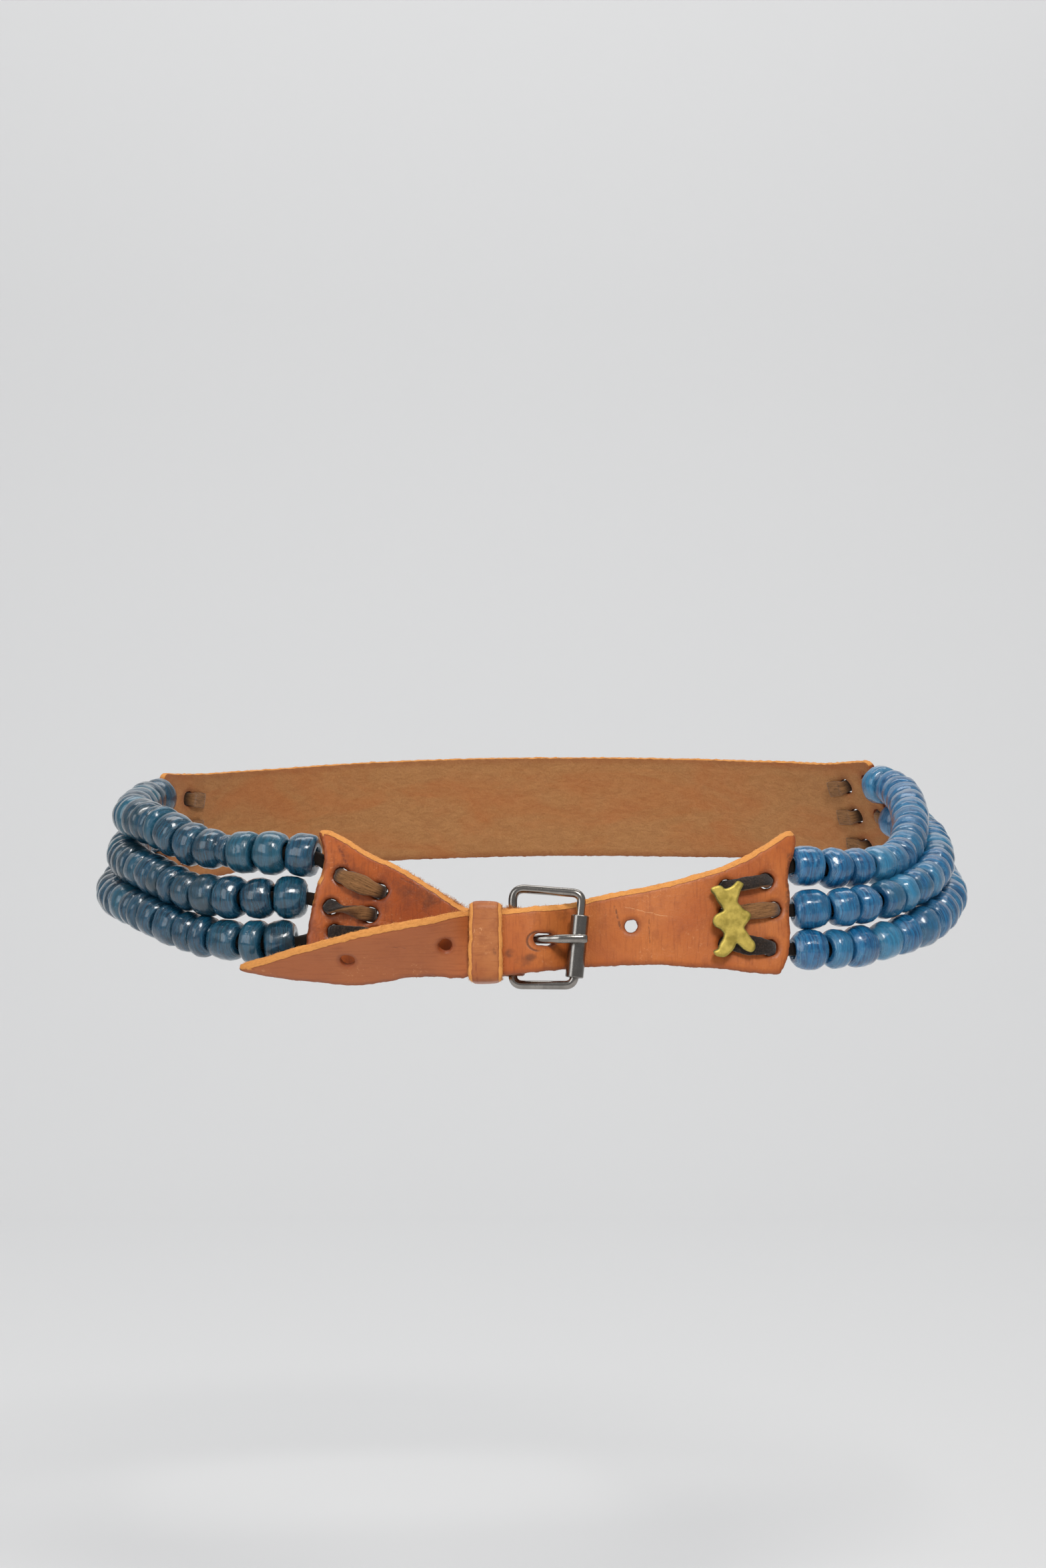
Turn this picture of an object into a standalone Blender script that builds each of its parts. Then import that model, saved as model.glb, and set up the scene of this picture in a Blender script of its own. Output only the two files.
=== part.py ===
# Beaded belt, buckled, with the shape that it has round the hips.
#
# The belt is laid out flat, as a leatherworker would cut it, and then bent round a hip form.
# A place on it has three numbers, in millimetres:
#   along   how far round the belt, from the middle of the front; grows to +X
#   height  above the origin, along +Z
#   out     how far outside the hip form, away from the body
# The origin is in the middle of the waist hollow, +Z is up, and the buckle faces -Y.

import math
import random

import bmesh
import bpy
import numpy as np
from mathutils import Vector

MM = 0.001
GAP = 0.3
SHARP_EDGE = math.radians(35)

# Hip form: an oval ring that grows wider towards the thighs
HIP_HALF_WIDTH = 146.0
HIP_HALF_FRONT = 110.0
HIP_HALF_BACK = 112.0
HIP_CENTRE_X = 3.0
HIP_WIDER_PER_MM = 0.27
HIP_DEEPER_PER_MM = 0.11
HIP_SHIFT_PER_MM = 0.15
HIP_SQUARENESS_FRONT = 2.7
HIP_SQUARENESS_BACK = 2.2

# The form narrows upwards, so in front a place slides along by this much for each millimetre
# that it is above the middle row, and an upright edge stays upright
UPRIGHT_SLIDES = (
    # along, slide
    (-150, 0.0),
    (-105, 0.01),
    (-80, 0.05),
    (-50, 0.10),
    (0, 0.15),
    (50, 0.205),
    (80, 0.26),
    (92, 0.29),
    (110, 0.20),
    (130, 0.10),
    (150, 0.03),
    (175, 0.0),
)

# Heights of the three rows of thong and beads round the hips
ROW_HEIGHTS = (
    # along, top, middle, bottom
    (-246, 26.0, 12.5, -1.0),
    (-218, 22.5, 8.8, -6.0),
    (-200, 20.3, 6.3, -8.6),
    (-182, 18.6, 3.6, -10.6),
    (-162, 17.2, 1.0, -12.6),
    (-142, 14.3, -2.3, -16.4),
    (-122, 8.8, -7.4, -21.4),
    (-100, 6.6, -9.0, -23.8),
    (-75, 5.2, -8.8, -23.4),
    (-52, -6.4, -14.2, -21.2),
    (-10, -14.5, -22.5, -30.5),
    (33, -12.0, -18.8, -26.0),
    (66, -5.2, -14.6, -23.8),
    (91, 2.3, -12.6, -25.9),
    (110, 1.2, -12.6, -26.0),
    (128, 1.8, -10.6, -23.5),
    (146, 3.8, -6.8, -19.6),
    (164, 8.0, -2.4, -15.0),
    (182, 13.6, 3.0, -10.4),
    (200, 19.2, 7.4, -6.6),
    (218, 23.3, 11.0, -3.0),
    (238, 27.8, 14.6, 0.8),
    (258, 31.0, 17.5, 4.0),
    (279, 29.4, 17.8, 6.2),
    (340, 28.0, 19.5, 11.0),
    (420, 28.5, 20.5, 12.0),
    (500, 26.0, 18.0, 9.0),
    (573, 24.4, 13.2, 2.0),
    (594, 26.0, 12.5, -1.0),
)
ROWS = ("top", "middle", "bottom")

# How far out of the hip form each row of beads lies, where the rows crowd each other
ROW_OUTS = (
    # along, top, middle, bottom
    (-246, 0.0, 0.5, 1.0),
    (-218, -0.5, 0.5, 3.0),
    (-182, 0.5, 1.0, 2.5),
    (-142, -0.5, 0.5, 0.5),
    (-100, 0.0, 1.0, 0.0),
    (-75, 0.0, 0.0, 0.0),
    (91, 0.0, 0.0, 0.0),
    (110, -1.0, 2.0, -1.0),
    (128, -1.5, 2.0, -1.0),
    (146, -3.0, 2.5, 0.0),
    (164, -4.0, 2.5, 0.0),
    (182, -4.0, 1.5, 0.0),
    (200, -3.0, 0.5, -1.0),
    (218, -2.0, 0.0, -1.5),
    (258, 0.0, 0.0, -0.5),
)

# Leather
LEATHER = 2.4
PUNCH_RADIUS = 3.0
STRAP_HOLE_RADIUS = 2.2

# The right tab and the strap that it runs into; lean tips the upper edge away from the body
BILLET = (
    # along, top, bottom, out, lean
    (-97.2, -32.2, -34.0, 9.8, 40),
    (-93.8, -31.1, -34.8, 10.0, 40),
    (-87.6, -29.1, -36.1, 10.2, 40),
    (-78.6, -25.9, -37.7, 10.6, 40),
    (-69.2, -22.9, -39.1, 11.0, 40),
    (-60, -19.8, -40.4, 11.4, 40),
    (-50, -17.2, -39.5, 11.4, 40),
    (-40, -15.2, -37.6, 11.2, 40),
    (-32, -14.1, -36.5, 10.0, 34),
    (-26, -13.7, -36.1, 8.0, 17),
    (-21, -13.4, -35.2, 6.2, 0),
    (-15, -13.2, -34.9, 6.2, 0),
    (-9, -12.9, -34.7, 7.0, 0),
    (-4, -12.4, -34.4, 7.8, 0),
    (0, -12.0, -33.9, 7.9, 0),
    (4, -11.6, -33.4, 6.2, 0),
    (8, -11.1, -32.9, 2.8, 0),
    (12, -10.6, -32.2, -0.3, 0),
    (16, -9.5, -31.8, -1.2, 0),
    (23, -7.7, -31.5, -0.7, 0),
    (33.5, -5.7, -31.0, 0, 0),
    (44, -3.7, -31.0, 0, 0),
    (54.4, -1.0, -31.8, 0, 0),
    (65, 2.1, -32.4, 0, 0),
    (76, 7.0, -33.9, 0, 0),
    (86, 12.6, -34.6, 0, 0),
)
STANDS_AWAY = math.radians(1)
BILLET_END_EDGE = ((89.8, 14.0), (87.0, 2.0), (88.6, -6.0), (88.2, -22.0), (87.8, -31.5))
BILLET_HOLES = (
    # along, height, half length
    (33.5, -18.0, 2.2),
    (3.7, -22.8, 3.3),
    (-28.6, -24.8, 2.2),
    (-60.0, -30.0, 2.2),
)

# The left tab; past the heel bar the same strip comes back behind itself
BUCKLE_STRAP = (
    # along, top, bottom
    (-70, 14.6, -34.6),
    (-64, 11.8, -34.6),
    (-55, 6.3, -34.7),
    (-47, 2.9, -34.8),
    (-39.5, -1.4, -34.9),
    (-32, -6.0, -34.9),
    (-27, -9.4, -34.8),
    (-22, -12.2, -34.6),
    (-6, -12.2, -34.6),
    (30, -12.2, -34.6),
)
BUCKLE_STRAP_END_EDGE = ((-77.8, -31.5), (-77.0, -20.0), (-74.0, -6.0), (-70.8, 4.6), (-73.2, 14.2))
BUCKLE_STRAP_OUT = (
    # along, out
    (-80, 0.0),
    (-40, 0.0),
    (-28, 0.6),
    (-20, 2.3),
    (-14, 3.3),
    (-10, 3.9),
    (-6.4, 4.1),
)
BUCKLE_STRAP_RETURN_OUT = (
    # along, out
    (-6.4, -2.3),
    (-10, -1.4),
    (-14, -0.8),
    (-20, -1.1),
    (-31, -2.6),
)
RETURN_END = -29.0
FOLD_STEPS = 9
TONGUE_SLOT_ALONG = (-13.5, 9.5)
TONGUE_SLOT_WIDTH = 3.9
TONGUE_SLOT_CORNER = 1.2

# Buckle: a wire frame whose heel bar is in the fold, and a roller on the far bar
WIRE_RADIUS = 1.5
HEEL_BAR = (-6.4, 0.9)
FRAME_CORNERS = (
    # along, height, out
    (-6.4, -37.7, 0.9),
    (-6.4, -5.2, 0.9),
    (16.8, -7.4, 4.7),
    (14.0, -38.0, 4.3),
)
FRAME_CORNER_RADIUS = 3.2
ROLLER_OUTER_RADIUS = 3.05
ROLLER_INNER_RADIUS = 1.9
ROLLER_LENGTH = 21.0
ROLLER_CENTRE_HEIGHT = -24.6
TONGUE_RADIUS = 1.4
TONGUE_HEIGHT = -22.8
TONGUE_RING_RADIUS = 3.3
TONGUE_ROOT = (
    # along, out, where the tongue leaves its ring and comes up through the strap
    (-1.0, 4.6),
    (4.6, 6.3),
)
TONGUE_BEND_ALONG = 9.5
TONGUE_TIP_ALONG = 18.0
TONGUE_DIP = 0.5

# Keeper, a leather band round both straps
KEEPER_ALONG = (-20.8, -10.0)
KEEPER_WALL = 1.7
KEEPER_HEIGHTS = (-37.3, -10.0)
KEEPER_OUTS = (-4.6, 10.6)
KEEPER_CORNER = 2.2
KEEPER_INNER_CORNER = 0.5

# Cast ornament on the right tab, held by a rivet
ORNAMENT_ALONG = 67.5
ORNAMENT_HEIGHT = -17.2
ORNAMENT_THICKNESS = 2.2
ORNAMENT_FACE_SHARE = 0.88
ORNAMENT_OUTLINE = (
    # along and height from its middle, anticlockwise from the upper left arm
    (-6.8, 11.0), (-7.0, 9.4), (-4.6, 5.4), (-3.2, 3.0), (-6.0, 1.4), (-6.3, -1.0),
    (-3.6, -3.2), (-3.4, -6.0), (-6.4, -10.6), (-5.4, -12.4), (-1.6, -12.2), (1.0, -8.2),
    (4.4, -10.4), (7.2, -10.6), (7.4, -8.2), (4.6, -3.0), (6.2, 0.6), (5.0, 2.8),
    (2.2, 5.0), (3.8, 11.4), (2.6, 13.0), (-0.6, 11.0), (-2.6, 10.2), (-5.0, 11.8),
)
RIVET_ALONG = 69.6
RIVET_HEIGHT = -19.3
RIVET_RADIUS = 1.3
RIVET_HEAD_RADIUS = 2.2
RIVET_HEAD_THICKNESS = 1.1
RIVET_BITE = 0.5

# Back panel
PANEL = (
    # along, top, bottom
    (259.5, 38.9, -4.6),
    (268, 38.8, -4.4),
    (285, 38.2, -1.8),
    (310, 38.8, 0.2),
    (360, 40.2, 1.0),
    (420, 40.5, 1.2),
    (480, 38.8, -0.6),
    (535, 35.4, -3.4),
    (565, 34.0, -7.4),
    (584, 34.0, -9.8),
    (592, 34.2, -10.0),
)
PANEL_RIGHT_EDGE = ((258, 37.6), (258.8, 25), (258.2, 10), (258, -3.2))
PANEL_LEFT_EDGE = ((594, -8.6), (593.4, 4), (593.8, 20), (594, 33.0))

# Thongs: where each goes through the leather, out from behind and in again
THONG_THICKNESS = 1.2
THONG_GAP = 0.45
THONG_WIDTH = 5.0
THONG_WIDTH_IN_HOLE = 3.4
THONG_WIDTH_IN_BEADS = 4.2
THONG_TAIL = 9.0
THONG_TAIL_BEND = 3.0
THONG_SLANT = 1.5
THONG_STEPS = 8
THONG_HOLES = {
    # near the strap: inner hole and outer hole, each along and height
    ("right", "top"): ((66.0, -5.2), (80.3, -3.0)),
    ("right", "middle"): ((66.0, -14.4), (83.0, -12.8)),
    ("right", "bottom"): ((66.0, -24.2), (81.7, -25.7)),
    ("left", "top"): ((-51.8, -6.4), (-65.0, -1.1)),
    ("left", "middle"): ((-55.0, -14.2), (-68.7, -11.6)),
    ("left", "bottom"): ((-53.6, -21.4), (-67.3, -20.2)),
}
PANEL_HOLE_FROM_EDGE = (7.5, 21.0)
PANEL_EDGES = {"right": 258.0, "left": -246.0}
BELT_ROUND = 840.0  # to the nearest millimetre

# Beads: wound glass, each a little different
BEAD_SIDES = 10
BEAD_BORE_RADIUS = 2.9
BEAD_END_RADIUS = 4.1
BEAD_SHOULDER = 0.24
BEAD_START = {
    # along where each string's first bead begins
    ("right", "top"): 91.0,
    ("right", "middle"): 91.2,
    ("right", "bottom"): 91.0,
    ("left", "top"): -73.8,
    ("left", "middle"): -77.6,
    ("left", "bottom"): -81.6,
}
BEAD_END = {"right": 255.6, "left": -243.6}
BEADS = {
    # mean pitch, least and largest radius, first seed
    "right": (10.7, 6.15, 6.65, 11),
    "left": (10.9, 6.3, 6.95, 41),
}
BEAD_LENGTH_SPREAD = (0.82, 1.18)
STRING_SETTLES_IN = 16.0
STRING_POINTS = 91


def srgb(red, green, blue):
    return tuple(((c / 255 + 0.055) / 1.055) ** 2.4 for c in (red, green, blue))


TAN_LEATHER = ("tan_leather", srgb(178, 103, 58), 0.55, 0.0)
BLUE_GLASS = ("blue_glass", srgb(38, 106, 158), 0.16, 0.0)
DARK_SUEDE = ("dark_suede", srgb(52, 44, 40), 0.95, 0.0)
BUCKLE_STEEL = ("buckle_steel", srgb(112, 108, 104), 0.32, 1.0)
CAST_BRASS = ("cast_brass", srgb(196, 160, 78), 0.42, 1.0)


def clear_scene():
    for old in list(bpy.data.objects):
        bpy.data.objects.remove(old, do_unlink=True)


def smooth_column(rows, column):
    # A cubic through the rows, whose slope at each row is the mean of its two sides
    at = np.array([row[0] for row in rows], float)
    value = np.array([row[column] for row in rows], float)
    span = np.diff(at)
    rise = np.diff(value) / span
    slope = np.empty_like(value)
    slope[0], slope[-1] = rise[0], rise[-1]
    slope[1:-1] = (rise[:-1] * span[1:] + rise[1:] * span[:-1]) / (span[:-1] + span[1:])

    def read(position):
        position = min(max(position, at[0]), at[-1])
        i = min(int(np.searchsorted(at, position, side="right")) - 1, len(span) - 1)
        t = (position - at[i]) / span[i]
        ease_out, ease_in = t * (1 - t) ** 2, t * t * (1 - t)
        blend = t * t * (3 - 2 * t)
        held = value[i] * (1 - blend) + value[i + 1] * blend
        return float(held + span[i] * (slope[i] * ease_out - slope[i + 1] * ease_in))

    return read


def hip_point(angle, level):
    # The hip form at one angle from the front, level millimetres above its middle row
    half_width = HIP_HALF_WIDTH - HIP_WIDER_PER_MM * level
    front = math.cos(angle) > 0
    half_depth = (HIP_HALF_FRONT if front else HIP_HALF_BACK) - HIP_DEEPER_PER_MM * level
    power = HIP_SQUARENESS_FRONT if front else HIP_SQUARENESS_BACK
    across = abs(math.sin(angle) / half_width) ** power
    deep = abs(math.cos(angle) / half_depth) ** power
    radius = (across + deep) ** (-1 / power)
    centre_x = HIP_CENTRE_X - HIP_SHIFT_PER_MM * level
    return centre_x + radius * math.sin(angle), -radius * math.cos(angle)


def measure_hips():
    # How far along the belt each angle lies
    angles = np.radians(np.arange(-180, 361, 0.5))
    points = np.array([hip_point(angle, 0) for angle in angles])
    steps = np.hypot(*np.diff(points, axis=0).T)
    along = np.concatenate([[0], np.cumsum(steps)])
    return angles, along - np.interp(0, angles, along)


ANGLES, ALONGS = measure_hips()
ROW_HEIGHT = {row: smooth_column(ROW_HEIGHTS, i + 1) for i, row in enumerate(ROWS)}
ROW_OUT = {row: smooth_column(ROW_OUTS, i + 1) for i, row in enumerate(ROWS)}
UPRIGHT_SLIDE = smooth_column(UPRIGHT_SLIDES, 1)


def form_spot(along, height):
    # The angle and the level on the form of a place on the belt
    along += UPRIGHT_SLIDE(along) * (height - ROW_HEIGHT["middle"](along))
    return float(np.interp(along, ALONGS, ANGLES)), height - ROW_HEIGHT["middle"](along)


def place(along, height, out=0.0):
    angle, level = form_spot(along, height)
    here = Vector((*hip_point(angle, level), height))
    return (here + outward(angle, level) * out) * MM


def outward(angle, level):
    turn, rise = 0.01, 1.0
    here = hip_point(angle, level)
    aside = hip_point(angle + turn, level)
    above = hip_point(angle, level + rise)
    tangent = Vector((aside[0] - here[0], aside[1] - here[1], 0))
    up = Vector((above[0] - here[0], above[1] - here[1], rise))
    return tangent.cross(up).normalized()


def outward_at(along, height):
    return outward(*form_spot(along, height))


def make_material(look):
    name, colour, roughness, metallic = look
    material = bpy.data.materials.new(name)
    material.use_nodes = True
    shader = material.node_tree.nodes["Principled BSDF"]
    shader.inputs["Base Color"].default_value = (*colour, 1)
    shader.inputs["Roughness"].default_value = roughness
    shader.inputs["Metallic"].default_value = metallic
    return material


def add_object(name, bm, look):
    mesh = bpy.data.meshes.new(name)
    bm.to_mesh(mesh)
    bm.free()
    mesh.shade_smooth()
    mesh.set_sharp_from_angle(angle=SHARP_EDGE)
    mesh.materials.append(make_material(look))
    piece = bpy.data.objects.new(name, mesh)
    bpy.context.collection.objects.link(piece)
    return piece


def oval(centre_x, centre_y, half_length, half_height, sides=8):
    turns = [math.tau * (i + 0.5) / sides for i in range(sides)]
    return [(centre_x + half_length * math.cos(a), centre_y + half_height * math.sin(a)) for a in turns]


def round_box(low, high, radius, steps=3):
    # A rectangle with round corners, as a list of points
    corners = (
        (high[0] - radius, high[1] - radius, 0),
        (low[0] + radius, high[1] - radius, 90),
        (low[0] + radius, low[1] + radius, 180),
        (high[0] - radius, low[1] + radius, 270),
    )
    points = []
    for x, y, start in corners:
        for i in range(steps + 1):
            turn = math.radians(start + 90 * i / steps)
            points.append((x + radius * math.cos(turn), y + radius * math.sin(turn)))
    return points


def cut_blank(outline, holes, thickness, scores=()):
    # A flat blank with its holes, as a filled curve, scored across where it is to bend
    curve = bpy.data.curves.new("blank", "CURVE")
    curve.dimensions = "2D"
    curve.fill_mode = "BOTH"
    curve.extrude = thickness / 2
    for ring in (outline, *holes):
        spline = curve.splines.new("POLY")
        spline.points.add(len(ring) - 1)
        for point, (x, y) in zip(spline.points, ring):
            point.co = (x, y, 0, 1)
        spline.use_cyclic_u = True
    blank = bpy.data.objects.new("blank", curve)
    bpy.context.collection.objects.link(blank)
    graph = bpy.context.evaluated_depsgraph_get()
    mesh = bpy.data.meshes.new_from_object(blank.evaluated_get(graph))
    bpy.data.objects.remove(blank)
    bm = bmesh.new()
    bm.from_mesh(mesh)
    bpy.data.meshes.remove(mesh)
    bmesh.ops.remove_doubles(bm, verts=bm.verts, dist=0.001)
    bmesh.ops.dissolve_limit(bm, angle_limit=0.001, verts=bm.verts, edges=bm.edges)
    for score in scores:
        everything = bm.verts[:] + bm.edges[:] + bm.faces[:]
        bmesh.ops.bisect_plane(bm, geom=everything, plane_co=(score, 0, 0), plane_no=(1, 0, 0), dist=0.0005)
    bmesh.ops.triangulate(bm, faces=bm.faces)
    bmesh.ops.recalc_face_normals(bm, faces=bm.faces)
    return bm


def edges_between(rows, start, stop, step):
    # The upper and lower edges of a strip, read from its table at even steps
    top, bottom = smooth_column(rows, 1), smooth_column(rows, 2)
    count = max(1, round(abs(stop - start) / step))
    alongs = [start + (stop - start) * i / count for i in range(count + 1)]
    return [(a, top(a)) for a in alongs], [(a, bottom(a)) for a in alongs]


def make_billet_strap():
    low, high = BILLET[0][0], BILLET[-1][0]
    upper, lower = edges_between(BILLET, low, high, 6.5)
    outline = upper + list(BILLET_END_EDGE) + lower[::-1]
    holes = []
    for along, height, half in BILLET_HOLES:
        low = (along - half, height - STRAP_HOLE_RADIUS)
        high = (along + half, height + STRAP_HOLE_RADIUS)
        holes.append(round_box(low, high, STRAP_HOLE_RADIUS - 0.01, 2))
    for side, row in THONG_HOLES:
        if side == "right":
            holes += [oval(*hole, PUNCH_RADIUS, PUNCH_RADIUS) for hole in THONG_HOLES[side, row]]
    holes.append(oval(RIVET_ALONG, RIVET_HEIGHT, RIVET_RADIUS + GAP, RIVET_RADIUS + GAP, 8))
    # Scored close together where the strap goes over the heel bar and under the roller
    scores = [*range(-90, -30, 15), *range(-30, 20, 4), *range(24, 90, 12)]
    bm = cut_blank(outline, holes, LEATHER, scores)
    top, bottom, out, lean = (smooth_column(BILLET, i) for i in (1, 2, 3, 4))
    for vert in bm.verts:
        along, height, through = vert.co
        centre = (top(along) + bottom(along)) / 2
        tip = math.radians(lean(along))
        above = (height - centre) * math.cos(tip) - through * math.sin(tip)
        outside = (height - centre) * math.sin(tip) + through * math.cos(tip)
        rise = 0.0 if tip > STANDS_AWAY else math.atan(out(along + 0.5) - out(along - 0.5))
        spot = (along - outside * math.sin(rise), centre + above)
        vert.co = place(*spot, out(along) + outside * math.cos(rise))
    return add_object("billet_strap", bm, TAN_LEATHER)


def buckle_strap_path():
    # Along the front of the left tab, half round the heel bar, and back behind; then where it ends
    front = smooth_column(BUCKLE_STRAP_OUT, 1)
    back = smooth_column(BUCKLE_STRAP_RETURN_OUT[::-1], 1)
    bar_along, bar_out = HEEL_BAR
    radius = front(bar_along) - bar_out
    ahead = [(a, front(a)) for a in np.linspace(BUCKLE_STRAP_OUT[0][0], bar_along, 60)]
    fold = []
    for i in range(1, FOLD_STEPS):
        turn = math.radians(90 - 180 * i / FOLD_STEPS)
        fold.append((bar_along + radius * math.cos(turn), bar_out + radius * math.sin(turn)))
    behind = [(a, back(a)) for a in np.linspace(bar_along, BUCKLE_STRAP_RETURN_OUT[-1][0], 30)]
    path = np.array(ahead + fold + behind)
    lengths = np.concatenate([[0], np.cumsum(np.hypot(*np.diff(path, axis=0).T))])
    lengths += bar_along - lengths[len(ahead) - 1]
    first = len(ahead) + len(fold)
    end = float(np.interp(RETURN_END, path[first:, 0][::-1], lengths[first:][::-1]))
    return path, lengths, end


def make_buckle_strap():
    path, lengths, end = buckle_strap_path()
    upper, lower = edges_between(BUCKLE_STRAP, BUCKLE_STRAP[0][0], end, 6.5)
    outline = upper + lower[::-1] + list(BUCKLE_STRAP_END_EDGE)
    slot_low = (TONGUE_SLOT_ALONG[0], TONGUE_HEIGHT - TONGUE_SLOT_WIDTH / 2)
    slot_high = (TONGUE_SLOT_ALONG[1], TONGUE_HEIGHT + TONGUE_SLOT_WIDTH / 2)
    holes = [round_box(slot_low, slot_high, TONGUE_SLOT_CORNER, 1)]
    for side, row in THONG_HOLES:
        if side == "left":
            holes += [oval(*hole, PUNCH_RADIUS, PUNCH_RADIUS) for hole in THONG_HOLES[side, row]]
    # Scored closest together where the neck folds round the heel bar
    scores = [*range(-72, -30, 9), *range(-28, -6, 3), *np.arange(-6.4, 3.6, 1.25), *range(6, 28, 4)]
    bm = cut_blank(outline, holes, LEATHER, scores)

    def read(length):
        return Vector([np.interp(length, lengths, path[:, i]) for i in range(2)])

    for vert in bm.verts:
        length, height, through = vert.co
        spot = read(length)
        run = (read(length + 0.4) - read(length - 0.4)).normalized()
        vert.co = place(spot.x - through * run.y, height, spot.y + through * run.x)
    return add_object("buckle_strap", bm, TAN_LEATHER)


def make_keeper():
    low = (KEEPER_OUTS[0], KEEPER_HEIGHTS[0])
    high = (KEEPER_OUTS[1], KEEPER_HEIGHTS[1])
    inner_low = (low[0] + KEEPER_WALL, low[1] + KEEPER_WALL)
    inner_high = (high[0] - KEEPER_WALL, high[1] - KEEPER_WALL)
    width = KEEPER_ALONG[1] - KEEPER_ALONG[0]
    inside = round_box(inner_low, inner_high, KEEPER_INNER_CORNER, 1)
    bm = cut_blank(round_box(low, high, KEEPER_CORNER, 2), [inside], width)
    middle = sum(KEEPER_ALONG) / 2
    for vert in bm.verts:
        out, height, beside = vert.co
        vert.co = place(middle - beside, height, out)
    return add_object("keeper", bm, TAN_LEATHER)


def make_back_panel():
    upper, lower = edges_between(PANEL, PANEL[0][0], PANEL[-1][0], 22)
    outline = upper + list(PANEL_LEFT_EDGE[::-1]) + lower[::-1] + list(PANEL_RIGHT_EDGE[::-1])
    holes = []
    for side in ("right", "left"):
        for row in ROWS:
            for along, height in panel_holes(side, row):
                holes.append(oval(panel_along(along), height, PUNCH_RADIUS, PUNCH_RADIUS))
    # Scored closer together at the ends, where the thongs go through
    scores = [265, 279, 289, *range(312, 560, 25), 565, 573, 580, 587]
    bm = cut_blank(outline, holes, LEATHER, scores)
    for vert in bm.verts:
        vert.co = place(*vert.co)
    return add_object("back_panel", bm, TAN_LEATHER)


def panel_along(along):
    # A place on the panel that is reached by the left side, counted by the right side instead
    return along + BELT_ROUND if along < PANEL_EDGES["left"] else along


def panel_holes(side, row):
    # Where one thong goes through the back panel: near its edge, then further in
    direction = 1 if side == "right" else -1
    alongs = [PANEL_EDGES[side] + direction * inset for inset in PANEL_HOLE_FROM_EDGE]
    return [(along, ROW_HEIGHT[row](panel_along(along))) for along in alongs]


def make_wire(name, points, radius, look, cyclic=False):
    curve = bpy.data.curves.new(name, "CURVE")
    curve.dimensions = "3D"
    curve.bevel_depth = radius * MM
    curve.bevel_resolution = 2
    curve.use_fill_caps = True
    spline = curve.splines.new("POLY")
    spline.points.add(len(points) - 1)
    for point, spot in zip(spline.points, points):
        point.co = (*spot, 1)
    spline.use_cyclic_u = cyclic
    curve.materials.append(make_material(look))
    wire = bpy.data.objects.new(name, curve)
    bpy.context.collection.objects.link(wire)
    return wire


def make_buckle_frame():
    corners = [place(*corner) for corner in FRAME_CORNERS]
    points = []
    for i, corner in enumerate(corners):
        towards = (corners[i - 1] - corner).normalized() * FRAME_CORNER_RADIUS * MM
        away = (corners[(i + 1) % 4] - corner).normalized() * FRAME_CORNER_RADIUS * MM
        for t in (0, 0.5, 1):
            points.append(corner + towards * (1 - t) ** 2 + away * t ** 2)
    return make_wire("buckle_frame", points, WIRE_RADIUS, BUCKLE_STEEL, cyclic=True)


def make_roller():
    top, bottom = place(*FRAME_CORNERS[2]), place(*FRAME_CORNERS[3])
    outline = oval(0, 0, ROLLER_OUTER_RADIUS, ROLLER_OUTER_RADIUS, 14)
    bore = oval(0, 0, ROLLER_INNER_RADIUS, ROLLER_INNER_RADIUS, 14)
    bm = cut_blank(outline, [bore], ROLLER_LENGTH)
    bmesh.ops.scale(bm, vec=(MM, MM, MM), verts=bm.verts)
    roller = add_object("roller", bm, BUCKLE_STEEL)
    share = (ROLLER_CENTRE_HEIGHT * MM - bottom.z) / (top.z - bottom.z)
    roller.location = bottom.lerp(top, share)
    roller.rotation_euler = (top - bottom).to_track_quat("Z", "Y").to_euler()
    return roller


def make_prong():
    # A ring round the heel bar, open behind, and a tongue that lies on the roller
    ring = []
    for i in range(9):
        turn = math.radians(-25 - 245 * i / 8)
        ring.append((
            HEEL_BAR[0] + TONGUE_RING_RADIUS * math.cos(turn),
            HEEL_BAR[1] + TONGUE_RING_RADIUS * math.sin(turn),
        ))
    roller_along = (FRAME_CORNERS[2][0] + FRAME_CORNERS[3][0]) / 2
    roller_out = (FRAME_CORNERS[2][2] + FRAME_CORNERS[3][2]) / 2
    rest_out = roller_out + ROLLER_OUTER_RADIUS + GAP + TONGUE_RADIUS
    tongue = [
        *TONGUE_ROOT,
        (TONGUE_BEND_ALONG, rest_out - TONGUE_DIP),
        (roller_along, rest_out),
        (TONGUE_TIP_ALONG, rest_out - TONGUE_DIP),
    ]
    points = [place(along, TONGUE_HEIGHT, out) for along, out in ring + tongue]
    return make_wire("prong", points, TONGUE_RADIUS, BUCKLE_STEEL)


def make_ornament():
    outline = [(ORNAMENT_ALONG + x, ORNAMENT_HEIGHT + y) for x, y in ORNAMENT_OUTLINE]
    under = LEATHER / 2 + THONG_GAP + THONG_THICKNESS + GAP
    bm = cut_blank(outline, [], ORNAMENT_THICKNESS)
    middle = Vector((ORNAMENT_ALONG, ORNAMENT_HEIGHT))
    for vert in bm.verts:
        # Its sides slope in towards the face
        share = ORNAMENT_FACE_SHARE if vert.co.z > 0 else 1.0
        spot = middle + (vert.co.xy - middle) * share
        vert.co = place(*spot, under + ORNAMENT_THICKNESS / 2 + vert.co.z)
    ornament = add_object("ornament", bm, CAST_BRASS)
    head_out = -LEATHER / 2 - GAP
    add_rivet_part(ornament, RIVET_RADIUS, head_out - RIVET_BITE, under + RIVET_BITE)
    add_rivet_part(ornament, RIVET_HEAD_RADIUS, head_out - RIVET_HEAD_THICKNESS, head_out)
    return ornament


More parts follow.
